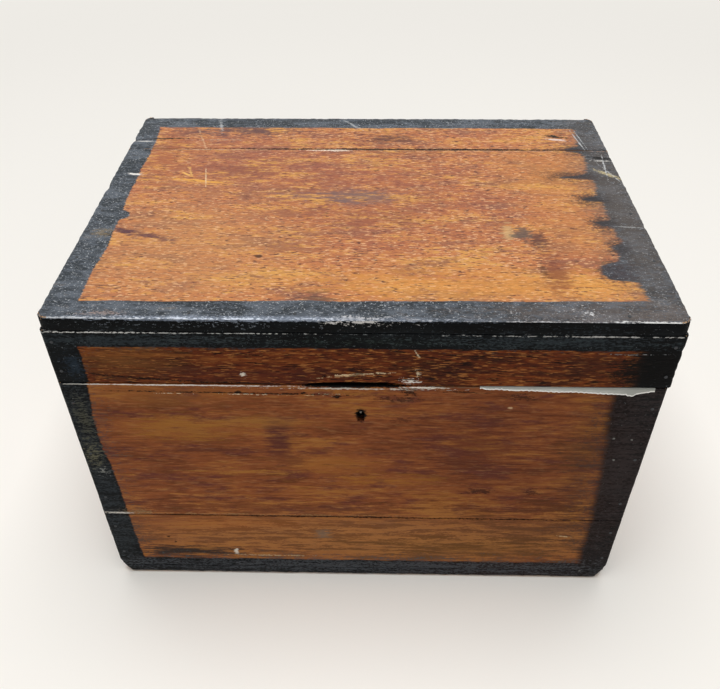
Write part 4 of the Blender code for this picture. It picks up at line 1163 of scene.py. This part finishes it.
@dataclass
class Board:
    """One board, sawn to size, with worn arrises, warped faces and its own recesses.

    Attributes:
        node: The solid that it stands for.
        body: The body that it rides on.
        finishes: The finish of each painted face, and of the bare wood as INSIDE.
        outer: The face at the chest's outside that sets its rounded corners.
        corner: The radius of those corners, in plan.
        lip: How much of its thickness runs on over the side boards, or none.
        joined: The faces that meet the next board.
        tight: The faces at a seam, whose arrises are hardly rounded.
        rims: The faces that are finished as its first face is, in the thickness of the walls.
        cuts: Its recesses and holes.
        cell: The first spacing of its mesh.
        levels: How often that spacing is halved.
        arris: How wide its arrises are worn.
        joint_arris: How wide they are worn at a joint.
        chip: How deep the chips in them go.
        bearing: How far a lip runs over the ends of the side boards.
        walls: How far from the middle the walls start, along X and Y.
        off_grid: How far, in metres, its divisions keep off the recesses' own edges.
        sharp: The least angle of an arris, in degrees.
        smooth: The greatest angle that is shaded smooth.
        square_reach: How near a side a face lies that looks squarely its way and is painted.
        slant_reach: How near, where the face looks only partly its way.
    """

    node: str
    body: Body
    finishes: dict[Facing, Material]
    outer: Optional[Facing] = None
    corner: float = 0.0
    lip: float = 0.0
    joined: tuple[Facing, ...] = ()
    tight: tuple[Facing, ...] = ()
    rims: tuple[Facing, ...] = ()
    cuts: tuple[Cut, ...] = ()
    cell: float = 10.0
    levels: int = 2
    arris: float = 1.2
    joint_arris: float = 0.4
    chip: float = 0.7
    bearing: float = 14.3
    walls: tuple[float, float] = (215.2, 153.7)
    off_grid: float = 0.00003
    sharp: float = 60.0
    smooth: float = 42.0
    square_reach: float = 5.5
    slant_reach: float = 1.7
    low: Vector = field(default_factory=Vector)
    high: Vector = field(default_factory=Vector)
    piece: Optional[Object] = None

    def build(self) -> Object:
        """Shape, wear, cut and dress the board.

        Returns:
            The finished board.
        """
        self.low, self.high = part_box(self.node)
        inset = Vector((self.bearing * MM if self.lip else 0.0, 0, 0))
        self.piece = lay_block("worn_" + self.node, self.low + inset, self.high - inset)
        bpy.ops.object.mode_set(mode="EDIT")
        if self.lip:
            self.run_out_lips()
        if self.corner:
            self.round_corners()
        self.divide()
        bpy.ops.object.mode_set(mode="OBJECT")
        use_modifier(self.piece, "SUBSURF", subdivision_type="SIMPLE", levels=self.levels,
                     render_levels=self.levels)
        for cut in self.cuts:
            cut.take(self.piece)
        self.wear_arrises()
        self.weather()
        self.knock()
        self.dress()
        LOG.info("%s: %d faces", self.piece.name, len(self.piece.data.polygons))
        return self.piece

    def plane(self, facing: Facing) -> tuple[int, float]:
        """The axis and the place of one of its faces."""
        axis, way = WAYS[facing]
        return axis, (self.high if way > 0 else self.low)[axis]

    def run_out_lips(self) -> None:
        """Run its outer layer on over the ends of the side boards."""
        way = WAYS[self.outer][1]
        split = self.plane(self.outer)[1] - way * self.lip * MM
        self.split((0, split, 0), (0, 1, 0))
        for end in (-1, 1):
            pick(self.piece, "faces", lambda f: f.normal.x * end > 0.9
                 and (f.calc_center_median().y - split) * way > 0)
            bpy.ops.mesh.extrude_region_move(
                TRANSFORM_OT_translate={"value": (end * self.bearing * MM, 0, 0)})

    def round_corners(self) -> None:
        """Round its upright corners at the outside of the chest."""
        axis, face = self.plane(self.outer)
        ends = (self.low.x, self.high.x)
        pick(self.piece, "edges", lambda e: all(
            abs(v.co[axis] - face) < TOUCH and min(abs(v.co.x - x) for x in ends) < TOUCH
            for v in e.verts) and abs(e.verts[0].co.z - e.verts[1].co.z) > 10 * TOUCH)
        bpy.ops.mesh.bevel(offset=self.corner * MM, segments=6, affect="EDGES")

    def divide(self) -> None:
        """Divide its long faces into cells."""
        size = self.high - self.low
        thin = min(range(3), key=lambda i: size[i])
        for axis in {0, 1, 2} - {thin}:
            count = max(1, round(size[axis] / (self.cell * MM)))
            normal = [float(i == axis) for i in range(3)]
            for step in range(1, count):
                place = self.low.copy()
                place[axis] += size[axis] * step / count + self.off_grid
                self.split(place, normal)

    def split(self, place: Sequence[float], normal: Sequence[float]) -> None:
        """Cut all its faces in two along a plane.

        Args:
            place: A place on the plane.
            normal: The plane's normal.
        """
        bpy.ops.mesh.select_all(action="SELECT")
        bpy.ops.mesh.bisect(plane_co=place, plane_no=normal, threshold=1e-7)

    def in_wall(self, place: Vector) -> bool:
        """Whether a place is in the thickness of the chest's walls."""
        return any(abs(place[axis]) > half * MM for axis, half in enumerate(self.walls))

    def at_joint(self, edge: object) -> bool:
        """Whether an edge lies where this board meets the next."""
        return any(all(abs(v.co[axis] - face) < TOUCH for v in edge.verts)
                   for axis, face in map(self.plane, (*self.joined, *self.tight)))

    def worn(self, edge: object) -> bool:
        """Whether an edge is an arris that wears, and not one of a rebate or a recess."""
        return edge.is_convex and not any(
            all(cut.holds(v.co) for v in edge.verts) for cut in self.cuts)

    def wear_arrises(self) -> None:
        """Round the arrises, and those at a joint only a little."""
        select_only(self.piece)
        bpy.ops.object.mode_set(mode="EDIT")
        for at_joint, width in ((True, self.joint_arris), (False, self.arris)):
            bpy.ops.mesh.select_mode(type="EDGE")
            bpy.ops.mesh.select_all(action="DESELECT")
            bpy.ops.mesh.edges_select_sharp(sharpness=math.radians(self.sharp))
            if pick(self.piece, "edges",
                    lambda e: self.at_joint(e) == at_joint and self.worn(e), keep=True):
                bpy.ops.mesh.bevel(offset=width * MM, segments=2, affect="EDGES")
        bpy.ops.object.mode_set(mode="OBJECT")

    def arris_distance(self, place: Vector) -> float:
        """How far a place is from the nearest worn arris, in millimetres."""
        away = sorted(abs(place[axis] - face) for axis, face in
                      (self.plane(facing) for facing in WAYS
                       if facing not in (*self.joined, *self.tight)))
        return math.hypot(away[0], away[1]) / MM

    def weather(self) -> None:
        """Warp the faces a little inwards and chip the arrises."""
        mesh = self.piece.data
        distances = [self.arris_distance(v.co) for v in mesh.vertices]
        mesh.attributes.new(ARRIS_ATTRIBUTE, "FLOAT", "POINT").data.foreach_set("value", distances)
        group = self.piece.vertex_groups.new(name="arrises")
        for limit, weight in ((3.4, 0.35), (2.1, 1.0)):
            group.add([i for i, d in enumerate(distances) if d < limit], weight, "REPLACE")
        for name, grain, strength, members, crisp in (
                ("warp", 38.0, 0.45, "", 1.0), ("chips", 5.0, self.chip, "arrises", 1.3)):
            noise = bpy.data.textures.get(name) or bpy.data.textures.new(name, "CLOUDS")
            noise.noise_scale, noise.noise_depth, noise.contrast = grain * MM, 2, crisp
            use_modifier(self.piece, "DISPLACE", texture=noise, texture_coords="GLOBAL",
                         mid_level=1.0, strength=strength * MM, vertex_group=members)

    def knock(self) -> None:
        """Knock it about as the table of knocks says."""
        bpy.ops.object.mode_set(mode="EDIT")
        for dent in KNOCKS.get(self.node, ()):
            spot = Vector(dent.at) * MM
            mesh = bmesh.from_edit_mesh(self.piece.data)
            nearest = min(mesh.verts, key=lambda v: (v.co - spot).length_squared).index
            pick(self.piece, "verts", lambda v: v.index == nearest)
            bpy.ops.transform.translate(
                value=Vector(dent.push) * MM, use_proportional_edit=True,
                proportional_edit_falloff="SMOOTH", proportional_size=dent.reach * MM)
        bpy.ops.object.mode_set(mode="OBJECT")

    def dress(self) -> None:
        """Give each face its finish, and join the board to its body."""
        piece, order = self.piece, list(self.finishes)
        for facing in order:
            piece.data.materials.append(self.finishes[facing])
        painted = [(order.index(f), *WAYS[f], self.plane(f)[1], False) for f in order
                   if f is not Facing.INSIDE]
        painted += [(1, *WAYS[f], self.plane(f)[1], True) for f in self.rims]
        bare = order.index(Facing.INSIDE) if Facing.INSIDE in order else 0
        lined = [(order.index(cut.lining), cut) for cut in self.cuts if cut.lining]
        for face in piece.data.polygons:
            turned = [(face.normal[axis] * way, index) for index, axis, way, level, rim in painted
                      if abs(face.center[axis] - level) < MM * (
                          self.square_reach if face.normal[axis] * way > 0.7
                          else self.slant_reach) and (not rim or self.in_wall(face.center))]
            best, index = max(turned, default=(0.0, bare))
            face.material_index = index if best > 0.25 else bare
            for index, cut in lined:
                if cut.holds(face.center, 1.2):
                    face.material_index = index
        select_only(piece)
        bpy.ops.object.shade_smooth_by_angle(angle=math.radians(self.smooth))
        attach(piece, self.body.value)
        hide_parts(self.node)


# The axes that the faces lie along, and what the finishes have in common
FRONT_PLANE, END_PLANE = (Axis.X, Axis.Z), (Axis.Y, Axis.Z)
CASE_WOOD = {"stain": CASE_STAIN, "paint": CASE_BORDER}
RAIL_WOOD = {"stain": RAIL_STAIN, "paint": RAIL_BORDER, "drawn": 1.7, "bristle": 0.75}
LID_WOOD = {
    "stain": LID_STAIN, "paint": LID_BORDER_WITH_SHEEN, "contrast": 1.05, "sheen": 0.16, "borders": (
        Border(Side.LEFT, -205.4, 0.7, bleed=1.2, teeth=TOP_TEETH_LEFT),
        Border(Side.RIGHT, 202.8, 2.3, wobble=1.0, bleed=3.2, teeth=TOP_TEETH_RIGHT),
        Border(Side.FOOT, -145.5, 0.6, 0.012), Border(Side.HEAD, 144.4, 0.7))}
SIDE_BAND = (Border(Side.LEFT, -147), Border(Side.RIGHT, 146))
HEAD_BAND, FOOT_BAND = Border(Side.HEAD, 281.5, 0.8), Border(Side.FOOT, 20.5, 1.0)

# The top has a finish for each of its boards, since its marks are too many for one
FINISHES = (
    *(PaintedPine(PINE + "lid_top_" + board, (Axis.X, Axis.Y), **LID_WOOD,
                  stains=marks_within(TOP_STAINS, *reach), marks=marks_within(TOP_MARKS, *reach))
      for board, reach in (("front", (-180, 97)), ("rear", (94, 180)))),
    PaintedPine(PINE + "lid_front", FRONT_PLANE, **RAIL_WOOD, stains=RAIL_STAINS, marks=RAIL_MARKS,
                shift=20, contrast=1.1, borders=(
                    Border(Side.LEFT, -204.8), Border(Side.RIGHT, 197, 9, wobble=4),
                    Border(Side.HEAD, 283.0, 0.5))),
    PaintedPine(PINE + "case_front", FRONT_PLANE, **CASE_WOOD, stains=CASE_STAINS, marks=CASE_MARKS,
                shift=40, drawn=2.4, contrast=0.35, borders=(
                    Border(Side.LEFT, -207.5, 0.8, teeth=CASE_TEETH_LEFT),
                    Border(Side.RIGHT, 195.6, 5, wobble=3, teeth=CASE_TEETH_RIGHT),
                    Border(Side.FOOT, 24.0, 1.0))),
    PaintedPine(PINE + "lid_side", END_PLANE, **RAIL_WOOD, borders=(*SIDE_BAND, HEAD_BAND),
                grain=Axis.Y, shift=60, contrast=0.9),
    PaintedPine(PINE + "case_side", END_PLANE, **CASE_WOOD, borders=(*SIDE_BAND, FOOT_BAND),
                stains=SIDE_STAINS, marks=SIDE_MARKS, grain=Axis.Y, shift=80, drawn=3.0,
                contrast=0.4),
    PaintedPine(PINE + "lid_back", FRONT_PLANE, **RAIL_WOOD, shift=100, contrast=0.9,
                borders=(Border(Side.LEFT, -207), Border(Side.RIGHT, 206), HEAD_BAND)),
    PaintedPine(PINE + "case_back", FRONT_PLANE, **CASE_WOOD, stains=BACK_STAINS, marks=BACK_MARKS,
                shift=120, drawn=3.0, contrast=0.4,
                borders=(Border(Side.LEFT, -208), Border(Side.RIGHT, 206), FOOT_BAND)),
    BarePine("planed_pine_along", Axis.X),
    BarePine("planed_pine_across", Axis.Y, shift=30),
    OldIron("blackened_iron", metallic=0.7),
    OldIron("painted_over_nail_heads", "#26292D", "#3A2E28", "#4A4E52", 0.2, 0.6, 0.45),
    OldIron("worn_steel", "#6E6A64", "#6B4A33", "#A8A39B", 0.95, 0.56, 0.2),
    LiningPaper("rag_lining_paper"),
)


@dataclass
class Finishes:
    """Every finish of the chest, made once."""

    made: dict[str, Material] = field(default_factory=dict)

    def build(self) -> None:
        """Make the finishes."""
        for finish in FINISHES:
            self.made[finish.name] = finish.build()
            LOG.info("finish %s", finish.name)

    def wood(self, part: str, *facings: Facing, across: bool = False) -> dict:
        """The finishes of one board.

        Args:
            part: "lid" or "case".
            facings: Its painted faces.
            across: Whether it runs from front to back.

        Returns:
            The finish of each painted face and of the bare wood.
        """
        kinds = {Facing.TOP: "lid_top_front" if Facing.FRONT in facings else "lid_top_rear",
                 Facing.FRONT: part + "_front", Facing.BACK: part + "_back",
                 Facing.LEFT: part + "_side", Facing.RIGHT: part + "_side"}
        chosen = {Facing.INSIDE: self.made["planed_pine_across" if across else "planed_pine_along"]}
        for facing in facings:
            chosen[facing] = self.made[PINE + kinds[facing]]
        return chosen


@dataclass
class Boards:
    """The boards of the case and of the lid, with the recesses for the lock and the hinges."""

    finishes: Finishes
    lip: float = 6.0
    keyhole: Place = (-1.0, FRONT_Y, 217.0)
    keyhole_radius: float = 3.2
    keyhole_slot: tuple[float, float] = (2.5, 7.6)

    def hinge_cuts(self, low: float, high: float) -> tuple[Cut, ...]:
        """The recesses that the hinge leaves lie in, between two levels."""
        return tuple(Cut((x - 25.3, 157.2, low), (x + 25.3, 171.0, high)) for x in (-140, 140))

    def lock_cuts(self) -> tuple[Cut, ...]:
        """The mortise of the lock, the recess of its plate and the keyhole.

        Returns:
            The cuts, in that order.
        """
        (x, y, z), radius = self.keyhole, self.keyhole_radius
        half, drop = self.keyhole_slot
        return (
            Cut((-33.3, -163.0, 202.2), (31.3, -154.0, 245.5)),
            Cut((-41.3, -156.3, 196.7), (39.3, -152.0, 249.0)),
            Cut((-41.3, -163.8, 245.2), (39.3, -152.0, 249.0)),
            # The keyhole takes the front's finish inside, so the painted shade of the front's marks
            # covers its walls
            Cut((x - radius, y - 3, z - radius), (x + radius, y + 7, z + radius), Axis.Y,
                Facing.FRONT),
            Cut((x - half, y - 3, z - drop), (x + half, y + 7, z), lining=Facing.FRONT),
        )

    def case(self) -> Iterable[Board]:
        """The boards of the case.

        Returns:
            Each board, ready to be built.
        """
        wood, case = self.finishes.wood, Body.CASE
        for side, facing in (("front", Facing.FRONT), ("back", Facing.BACK)):
            shape = (case, wood("case", facing, *ENDS), facing, 3, self.lip)
            yield Board(side + "_lower_board", *shape, SEAMS, rims=SEAMS)
            yield Board(side + "_upper_board", *shape, (Facing.UNDER,), (Facing.TOP,), SEAMS,
                        self.lock_cuts() if side == "front" else self.hinge_cuts(245.2, 250))
        for side, facing in (("left", Facing.LEFT), ("right", Facing.RIGHT)):
            for level, joints, tight in (("lower", SEAMS, ()),
                                         ("upper", (Facing.UNDER,), (Facing.TOP,))):
                yield Board(f"{side}_{level}_board", case, wood("case", facing, across=True),
                            facing, joined=(*joints, *WALLS), tight=tight, rims=(*SEAMS, *WALLS))
        for side, facing, other in (("front", *WALLS), ("rear", *reversed(WALLS))):
            yield Board(f"floor_{side}_board", case, wood("case", facing, *ENDS), facing, 9,
                        joined=(other, Facing.TOP), rims=(Facing.TOP,), arris=2.4, chip=1.0,
                        cell=14)

    def lid(self) -> Iterable[Board]:
        """The boards of the lid.

        Returns:
            Each board, ready to be built.
        """
        wood, lid = self.finishes.wood, Body.LID
        # The notch takes the front's finish inside, so the painted shade of the front's marks
        # covers it
        catch_cuts = (Cut((-38.3, -163.0, 247.0), (36.3, -152.0, 249.7)),
                      Cut((-42.0, -175.0, 244.4), (33.0, -159.0, 250.8), Axis.Y, Facing.FRONT))
        for side, facing, cuts in (("front", Facing.FRONT, catch_cuts),
                                   ("back", Facing.BACK, self.hinge_cuts(245.0, 249.7))):
            yield Board(f"lid_{side}_rail", lid, wood("lid", facing, *ENDS), facing, 3, self.lip,
                        tight=SEAMS, rims=SEAMS, cuts=cuts)
        for side, facing in (("left", Facing.LEFT), ("right", Facing.RIGHT)):
            yield Board(f"lid_{side}_rail", lid, wood("lid", facing, across=True), facing,
                        joined=WALLS, tight=SEAMS, rims=(*SEAMS, *WALLS))
        for side, facing, other in (("front", *WALLS), ("rear", *reversed(WALLS))):
            yield Board(f"lid_top_{side}_board", lid, wood("lid", Facing.TOP, facing, *ENDS),
                        facing, 8, joined=(other,), tight=(Facing.UNDER,),
                        rims=(Facing.UNDER, other), chip=0.9)

    def build(self) -> None:
        """Build every board."""
        for board in (*self.case(), *self.lid()):
            board.build()


@dataclass
class Lining:
    """The strip of old lining paper that is folded over the front rim and torn off outside."""

    finish: Material
    left: float = 88.0
    right: float = 217.6
    inside_y: float = -153.9
    outside_y: float = -168.95
    rim: float = 247.42
    foot: float = 127.2
    thickness: float = 0.2
    steps: tuple[int, int] = (88, 40)
    smooth: float = 35.0
    torn: tuple[tuple[float, float], ...] = (
        (87.6, 246.4), (90.0, 245.9), (93.5, 244.9), (101.0, 245.2), (115.0, 244.0),
        (124.0, 244.3), (146.0, 243.0), (158.0, 243.3), (178.0, 241.8), (189.0, 241.4),
        (196.0, 241.0), (199.0, 240.2), (201.5, 239.3), (205.2, 241.9), (211.5, 243.4),
        (217.6, 244.8),
    )

    def torn_level(self, across: float) -> float:
        """The level where the outside strip ends, in millimetres.

        Args:
            across: The place along it, in millimetres.

        Returns:
            The level.
        """
        for (x0, z0), (x1, z1) in zip(self.torn, self.torn[1:]):
            if across <= x1:
                share = max(0.0, (across - x0) / (x1 - x0))
                ragged = 0.3 * math.sin(across * 1.7) + 0.2 * math.sin(across * 2.9 + 1.0)
                return z0 + (z1 - z0) * share + ragged
        return self.torn[-1][1]

    def build(self) -> Object:
        """Fold the paper over the rim and tear its edge.

        Returns:
            The paper.
        """
        select_only()
        bpy.ops.mesh.primitive_grid_add(
            x_subdivisions=self.steps[0], y_subdivisions=self.steps[1], size=1,
            location=((self.left + self.right) / 2 * MM, self.inside_y * MM,
                      (self.rim + self.foot) / 2 * MM))
        piece = bpy.context.object
        piece.name = piece.data.name = "torn_lining_paper"
        piece.rotation_euler = (math.pi / 2, 0, 0)
        piece.scale = ((self.right - self.left) * MM, (self.rim - self.foot) * MM, 1)
        bpy.ops.object.transform_apply(location=True, rotation=True, scale=True)
        bpy.ops.object.mode_set(mode="EDIT")
        pick(piece, "edges", lambda e: all(v.co.z > (self.rim - 0.01) * MM for v in e.verts))
        over_rim = ((-0.5, 0.0), (-4.5, 0.0), (-5.0, 0.0), (-4.5, 0.0), (-0.55, -0.5))
        for step, up in (*over_rim, *((0.0, -1.2),) * 5):
            bpy.ops.mesh.extrude_region_move(
                TRANSFORM_OT_translate={"value": (0, step * MM, up * MM)})
        mesh = bmesh.from_edit_mesh(piece.data)
        top, bottom = (self.rim - 0.5) * MM, (self.rim - 6.5) * MM
        layer = mesh.verts.layers.float.new(TORN_ATTRIBUTE)
        for vertex in mesh.verts:
            vertex[layer] = 6.0
            if vertex.co.y < (self.outside_y + 0.01) * MM:
                torn = self.torn_level(vertex.co.x / MM) * MM
                share = (top - vertex.co.z) / (top - bottom)
                vertex.co.z = top + (torn - top) * max(0.0, share)
                vertex[layer] = (vertex.co.z - torn) / MM
        bmesh.update_edit_mesh(piece.data)
        bpy.ops.mesh.select_all(action="SELECT")
        bpy.ops.mesh.normals_make_consistent(inside=False)
        bpy.ops.object.mode_set(mode="OBJECT")
        use_modifier(piece, "SOLIDIFY", thickness=self.thickness * MM, offset=0.0)
        bpy.ops.object.shade_smooth_by_angle(angle=math.radians(self.smooth))
        piece.data.materials.append(self.finish)
        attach(piece, Body.CASE.value)
        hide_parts("front_lining_paper")
        LOG.info("%s: %d faces", piece.name, len(piece.data.polygons))
        return piece


@dataclass
class Nails:
    """The nails that hold the boards, driven flush and painted over."""

    finish: Material
    radius: float = 1.3
    proud: float = 0.05
    sunk: float = 1.2
    sides: int = 12
    shoulder: float = 0.35
    dome: float = 0.12

    def lid_places(self) -> Nailed:
        """Where the lid is nailed.

        Returns:
            The places.
        """
        top = [*((x, y) for x in (-196, -122, -47, 31, 104, 187) for y in (-161.0, 161.5)),
               *((x, y) for x in (-222.5, 222.5) for y in (-92, -21, 57, 124))]
        walls = self.wall_places(-223, 222.5, (259, 287))
        return [((x, y, TOP_Z), Facing.TOP) for x, y in top] + walls

    def wall_places(self, left: float, right: float, levels: Sequence[float]) -> Nailed:
        """Where the front and the back are nailed near their ends.

        Args:
            left: The nails' place at the left.
            right: Their place at the right.
            levels: Their levels.

        Returns:
            The places.
        """
        return [((x, y, z), facing) for y, facing in zip((FRONT_Y, BACK_Y), WALLS)
                for x in (left, right) for z in levels]

    def build(self) -> None:
        """Drive the nails of the lid and of the case."""
        case_places = self.wall_places(-222.5, 220.5, (33, 71, 112, 168, 226))
        for body, places in ((Body.LID, self.lid_places()), (Body.CASE, case_places)):
            first = self.shape_head(body.value + "_nail_heads")
            copies = [self.drive(first, place, facing) for place, facing in places]
            bpy.data.objects.remove(first)
            select_only(*copies)
            bpy.ops.object.join()
            heads = bpy.context.object
            heads.name = heads.data.name = body.value + "_nail_heads"
            heads.data.materials.append(self.finish)
            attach(heads, body.value)
            LOG.info("%s: %d nails", heads.name, len(places))

    def shape_head(self, name: str) -> Object:
        """Shape one nail head at the origin, facing up.

        Args:
            name: Its name.

        Returns:
            The head.
        """
        half = self.radius * MM
        head = lay_block(name, (-half, -half, -self.sunk * MM), (half, half, self.proud * MM),
                         Axis.Z, self.sides)
        bpy.ops.object.mode_set(mode="EDIT")
        pick(head, "faces", lambda f: f.normal.z > 0.9)
        bpy.ops.mesh.inset(thickness=self.shoulder * MM)
        bpy.ops.transform.translate(value=(0, 0, self.dome * MM))
        bpy.ops.object.mode_set(mode="OBJECT")
        return head

    def drive(self, first: Object, place: Place, facing: Facing) -> Object:
        """Set one copy of the head into a face.

        Args:
            first: The modelled head.
            place: Where it goes, in millimetres.
            facing: The face that it is driven into.

        Returns:
            The copy.
        """
        copy = first.copy()
        copy.data = first.data.copy()
        bpy.context.collection.objects.link(copy)
        select_only(copy)
        copy.location = [v * MM for v in place]
        copy.rotation_euler = {Facing.TOP: (0, 0, 0), Facing.FRONT: (math.pi / 2, 0, 0),
                               Facing.BACK: (-math.pi / 2, 0, 0)}[facing]
        bpy.ops.object.transform_apply(location=True, rotation=True, scale=True)
        return copy


@dataclass
class Ironwork:
    """The lock, the hinges and the screws, whose solids stay and get their finish."""

    iron: Material
    steel: Material
    iron_words: tuple[str, ...] = ("leaf", "lock_plate", "lock_cap", "link_plate")
    steel_words: tuple[str, ...] = ("screw", "pin", "bolt", "spring", "stud")

    def dress(self) -> None:
        """Give each metal solid its finish."""
        for name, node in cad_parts.items():
            for words, finish in ((self.iron_words, self.iron), (self.steel_words, self.steel)):
                if any(word in name for word in words):
                    for slot in node.material_slots:
                        slot.material = finish
                    LOG.info("%s: %s", name, finish.name)


@dataclass
class Studio:
    """A plain pale floor, soft light and the camera at the photograph's angle."""

    floor_colour: str = "#F3F0EA"
    floor_size: float = 14.0
    floor_level: float = -0.0003
    fade: tuple[float, float] = (0.9, 2.6)
    eye: Place = (0.0093, -0.5854, 0.639)
    angles: Place = (49.88, 0.30, 1.18)
    focal: float = 38.26
    sensor: float = 36.0

    def build(self) -> None:
        """Set up the floor, the lights and the camera."""
        self.lay_floor()
        self.hang_lights()
        self.place_camera()

    def lay_floor(self) -> None:
        """Lay the floor, with an even matt paint."""
        select_only()
        bpy.ops.mesh.primitive_plane_add(size=self.floor_size, location=(0, 0, self.floor_level))
        floor = bpy.context.object
        floor.name = "studio_floor"
        bpy.ops.object.transform_apply(location=True, rotation=True, scale=True)
        graph = Graph.of_finish("matt_floor_paint")
        away = graph.add("VectorMath", {0: graph.place}, output="Value", operation="LENGTH")
        pale = linear(self.floor_colour)
        near = graph.lay(pale, linear("#000000"), away, *self.fade)
        far = graph.add("MapRange", {0: away, 1: self.fade[0], 2: self.fade[1]}, **SOFT_STEP)
        glow = graph.add("Math", {0: far, 1: self.background_rays(graph)}, operation="MULTIPLY")
        graph.wire(graph.shader, {"Base Color": near, "Emission Color": pale,
                                  "Emission Strength": glow, "Roughness": 0.95,
                                  "Specular IOR Level": 0.0})
        floor.data.materials.append(graph.material)

    def background_rays(self, graph: Graph) -> object:
        """One for the rays that show the background: seen, mirrored or through glass.

        Args:
            graph: The tree that asks.

        Returns:
            One for those rays and none for the light on the chest.
        """
        rays = graph.add("LightPath").node.outputs
        return graph.blend(*((rays[f"Is {kind} Ray"], 1.0)
                             for kind in ("Camera", "Glossy", "Transmission")))

    def hang_lights(self) -> None:
        """Hang a broad light above and behind, a weaker one in front, and light the world."""
        for name, place, aim, size, power in (
                ("overhead", (-0.15, 0.0, 5.2), (0, 0, 0.15), 4.5, 316),
                ("front_fill", (1.4, -4.6, 2.8), (0, 0, 0.15), 3.5, 66)):
            select_only()
            bpy.ops.object.light_add(type="AREA", location=place)
            lamp = bpy.context.object
            lamp.name = name
            lamp.data.size, lamp.data.energy = size, power
            lamp.rotation_euler = (Vector(aim) - Vector(place)).to_track_quat("-Z", "Y").to_euler()
        world = bpy.data.worlds.new("studio_air")
        world.use_nodes = True
        bpy.context.scene.world = world
        graph = Graph(world.node_tree)
        level = graph.add("MapRange", {"Value": self.background_rays(graph), "To Min": 0.03,
                                       "To Max": 1.0})
        graph.wire(graph.tree.nodes["Background"], {"Color": linear(self.floor_colour),
                                                    "Strength": level})

    def place_camera(self) -> None:
        """Place the camera where the photograph was taken."""
        select_only()
        bpy.ops.object.camera_add(location=self.eye,
                                  rotation=[math.radians(a) for a in self.angles])
        camera = bpy.context.object
        camera.data.lens, camera.data.sensor_width = self.focal, self.sensor
        camera.data.clip_start = 0.01
        bpy.context.scene.camera = camera
        bpy.context.scene.view_settings.view_transform = "Standard"


def main() -> None:
    """Build the chest's looks in order."""
    logging.basicConfig(level=logging.INFO, format="%(name)s %(message)s")
    finishes = Finishes()
    finishes.build()
    Boards(finishes).build()
    Lining(finishes.made["rag_lining_paper"]).build()
    Nails(finishes.made["painted_over_nail_heads"]).build()
    Ironwork(finishes.made["blackened_iron"], finishes.made["worn_steel"]).dress()
    Studio().build()


if __name__ == "__main__":
    main()
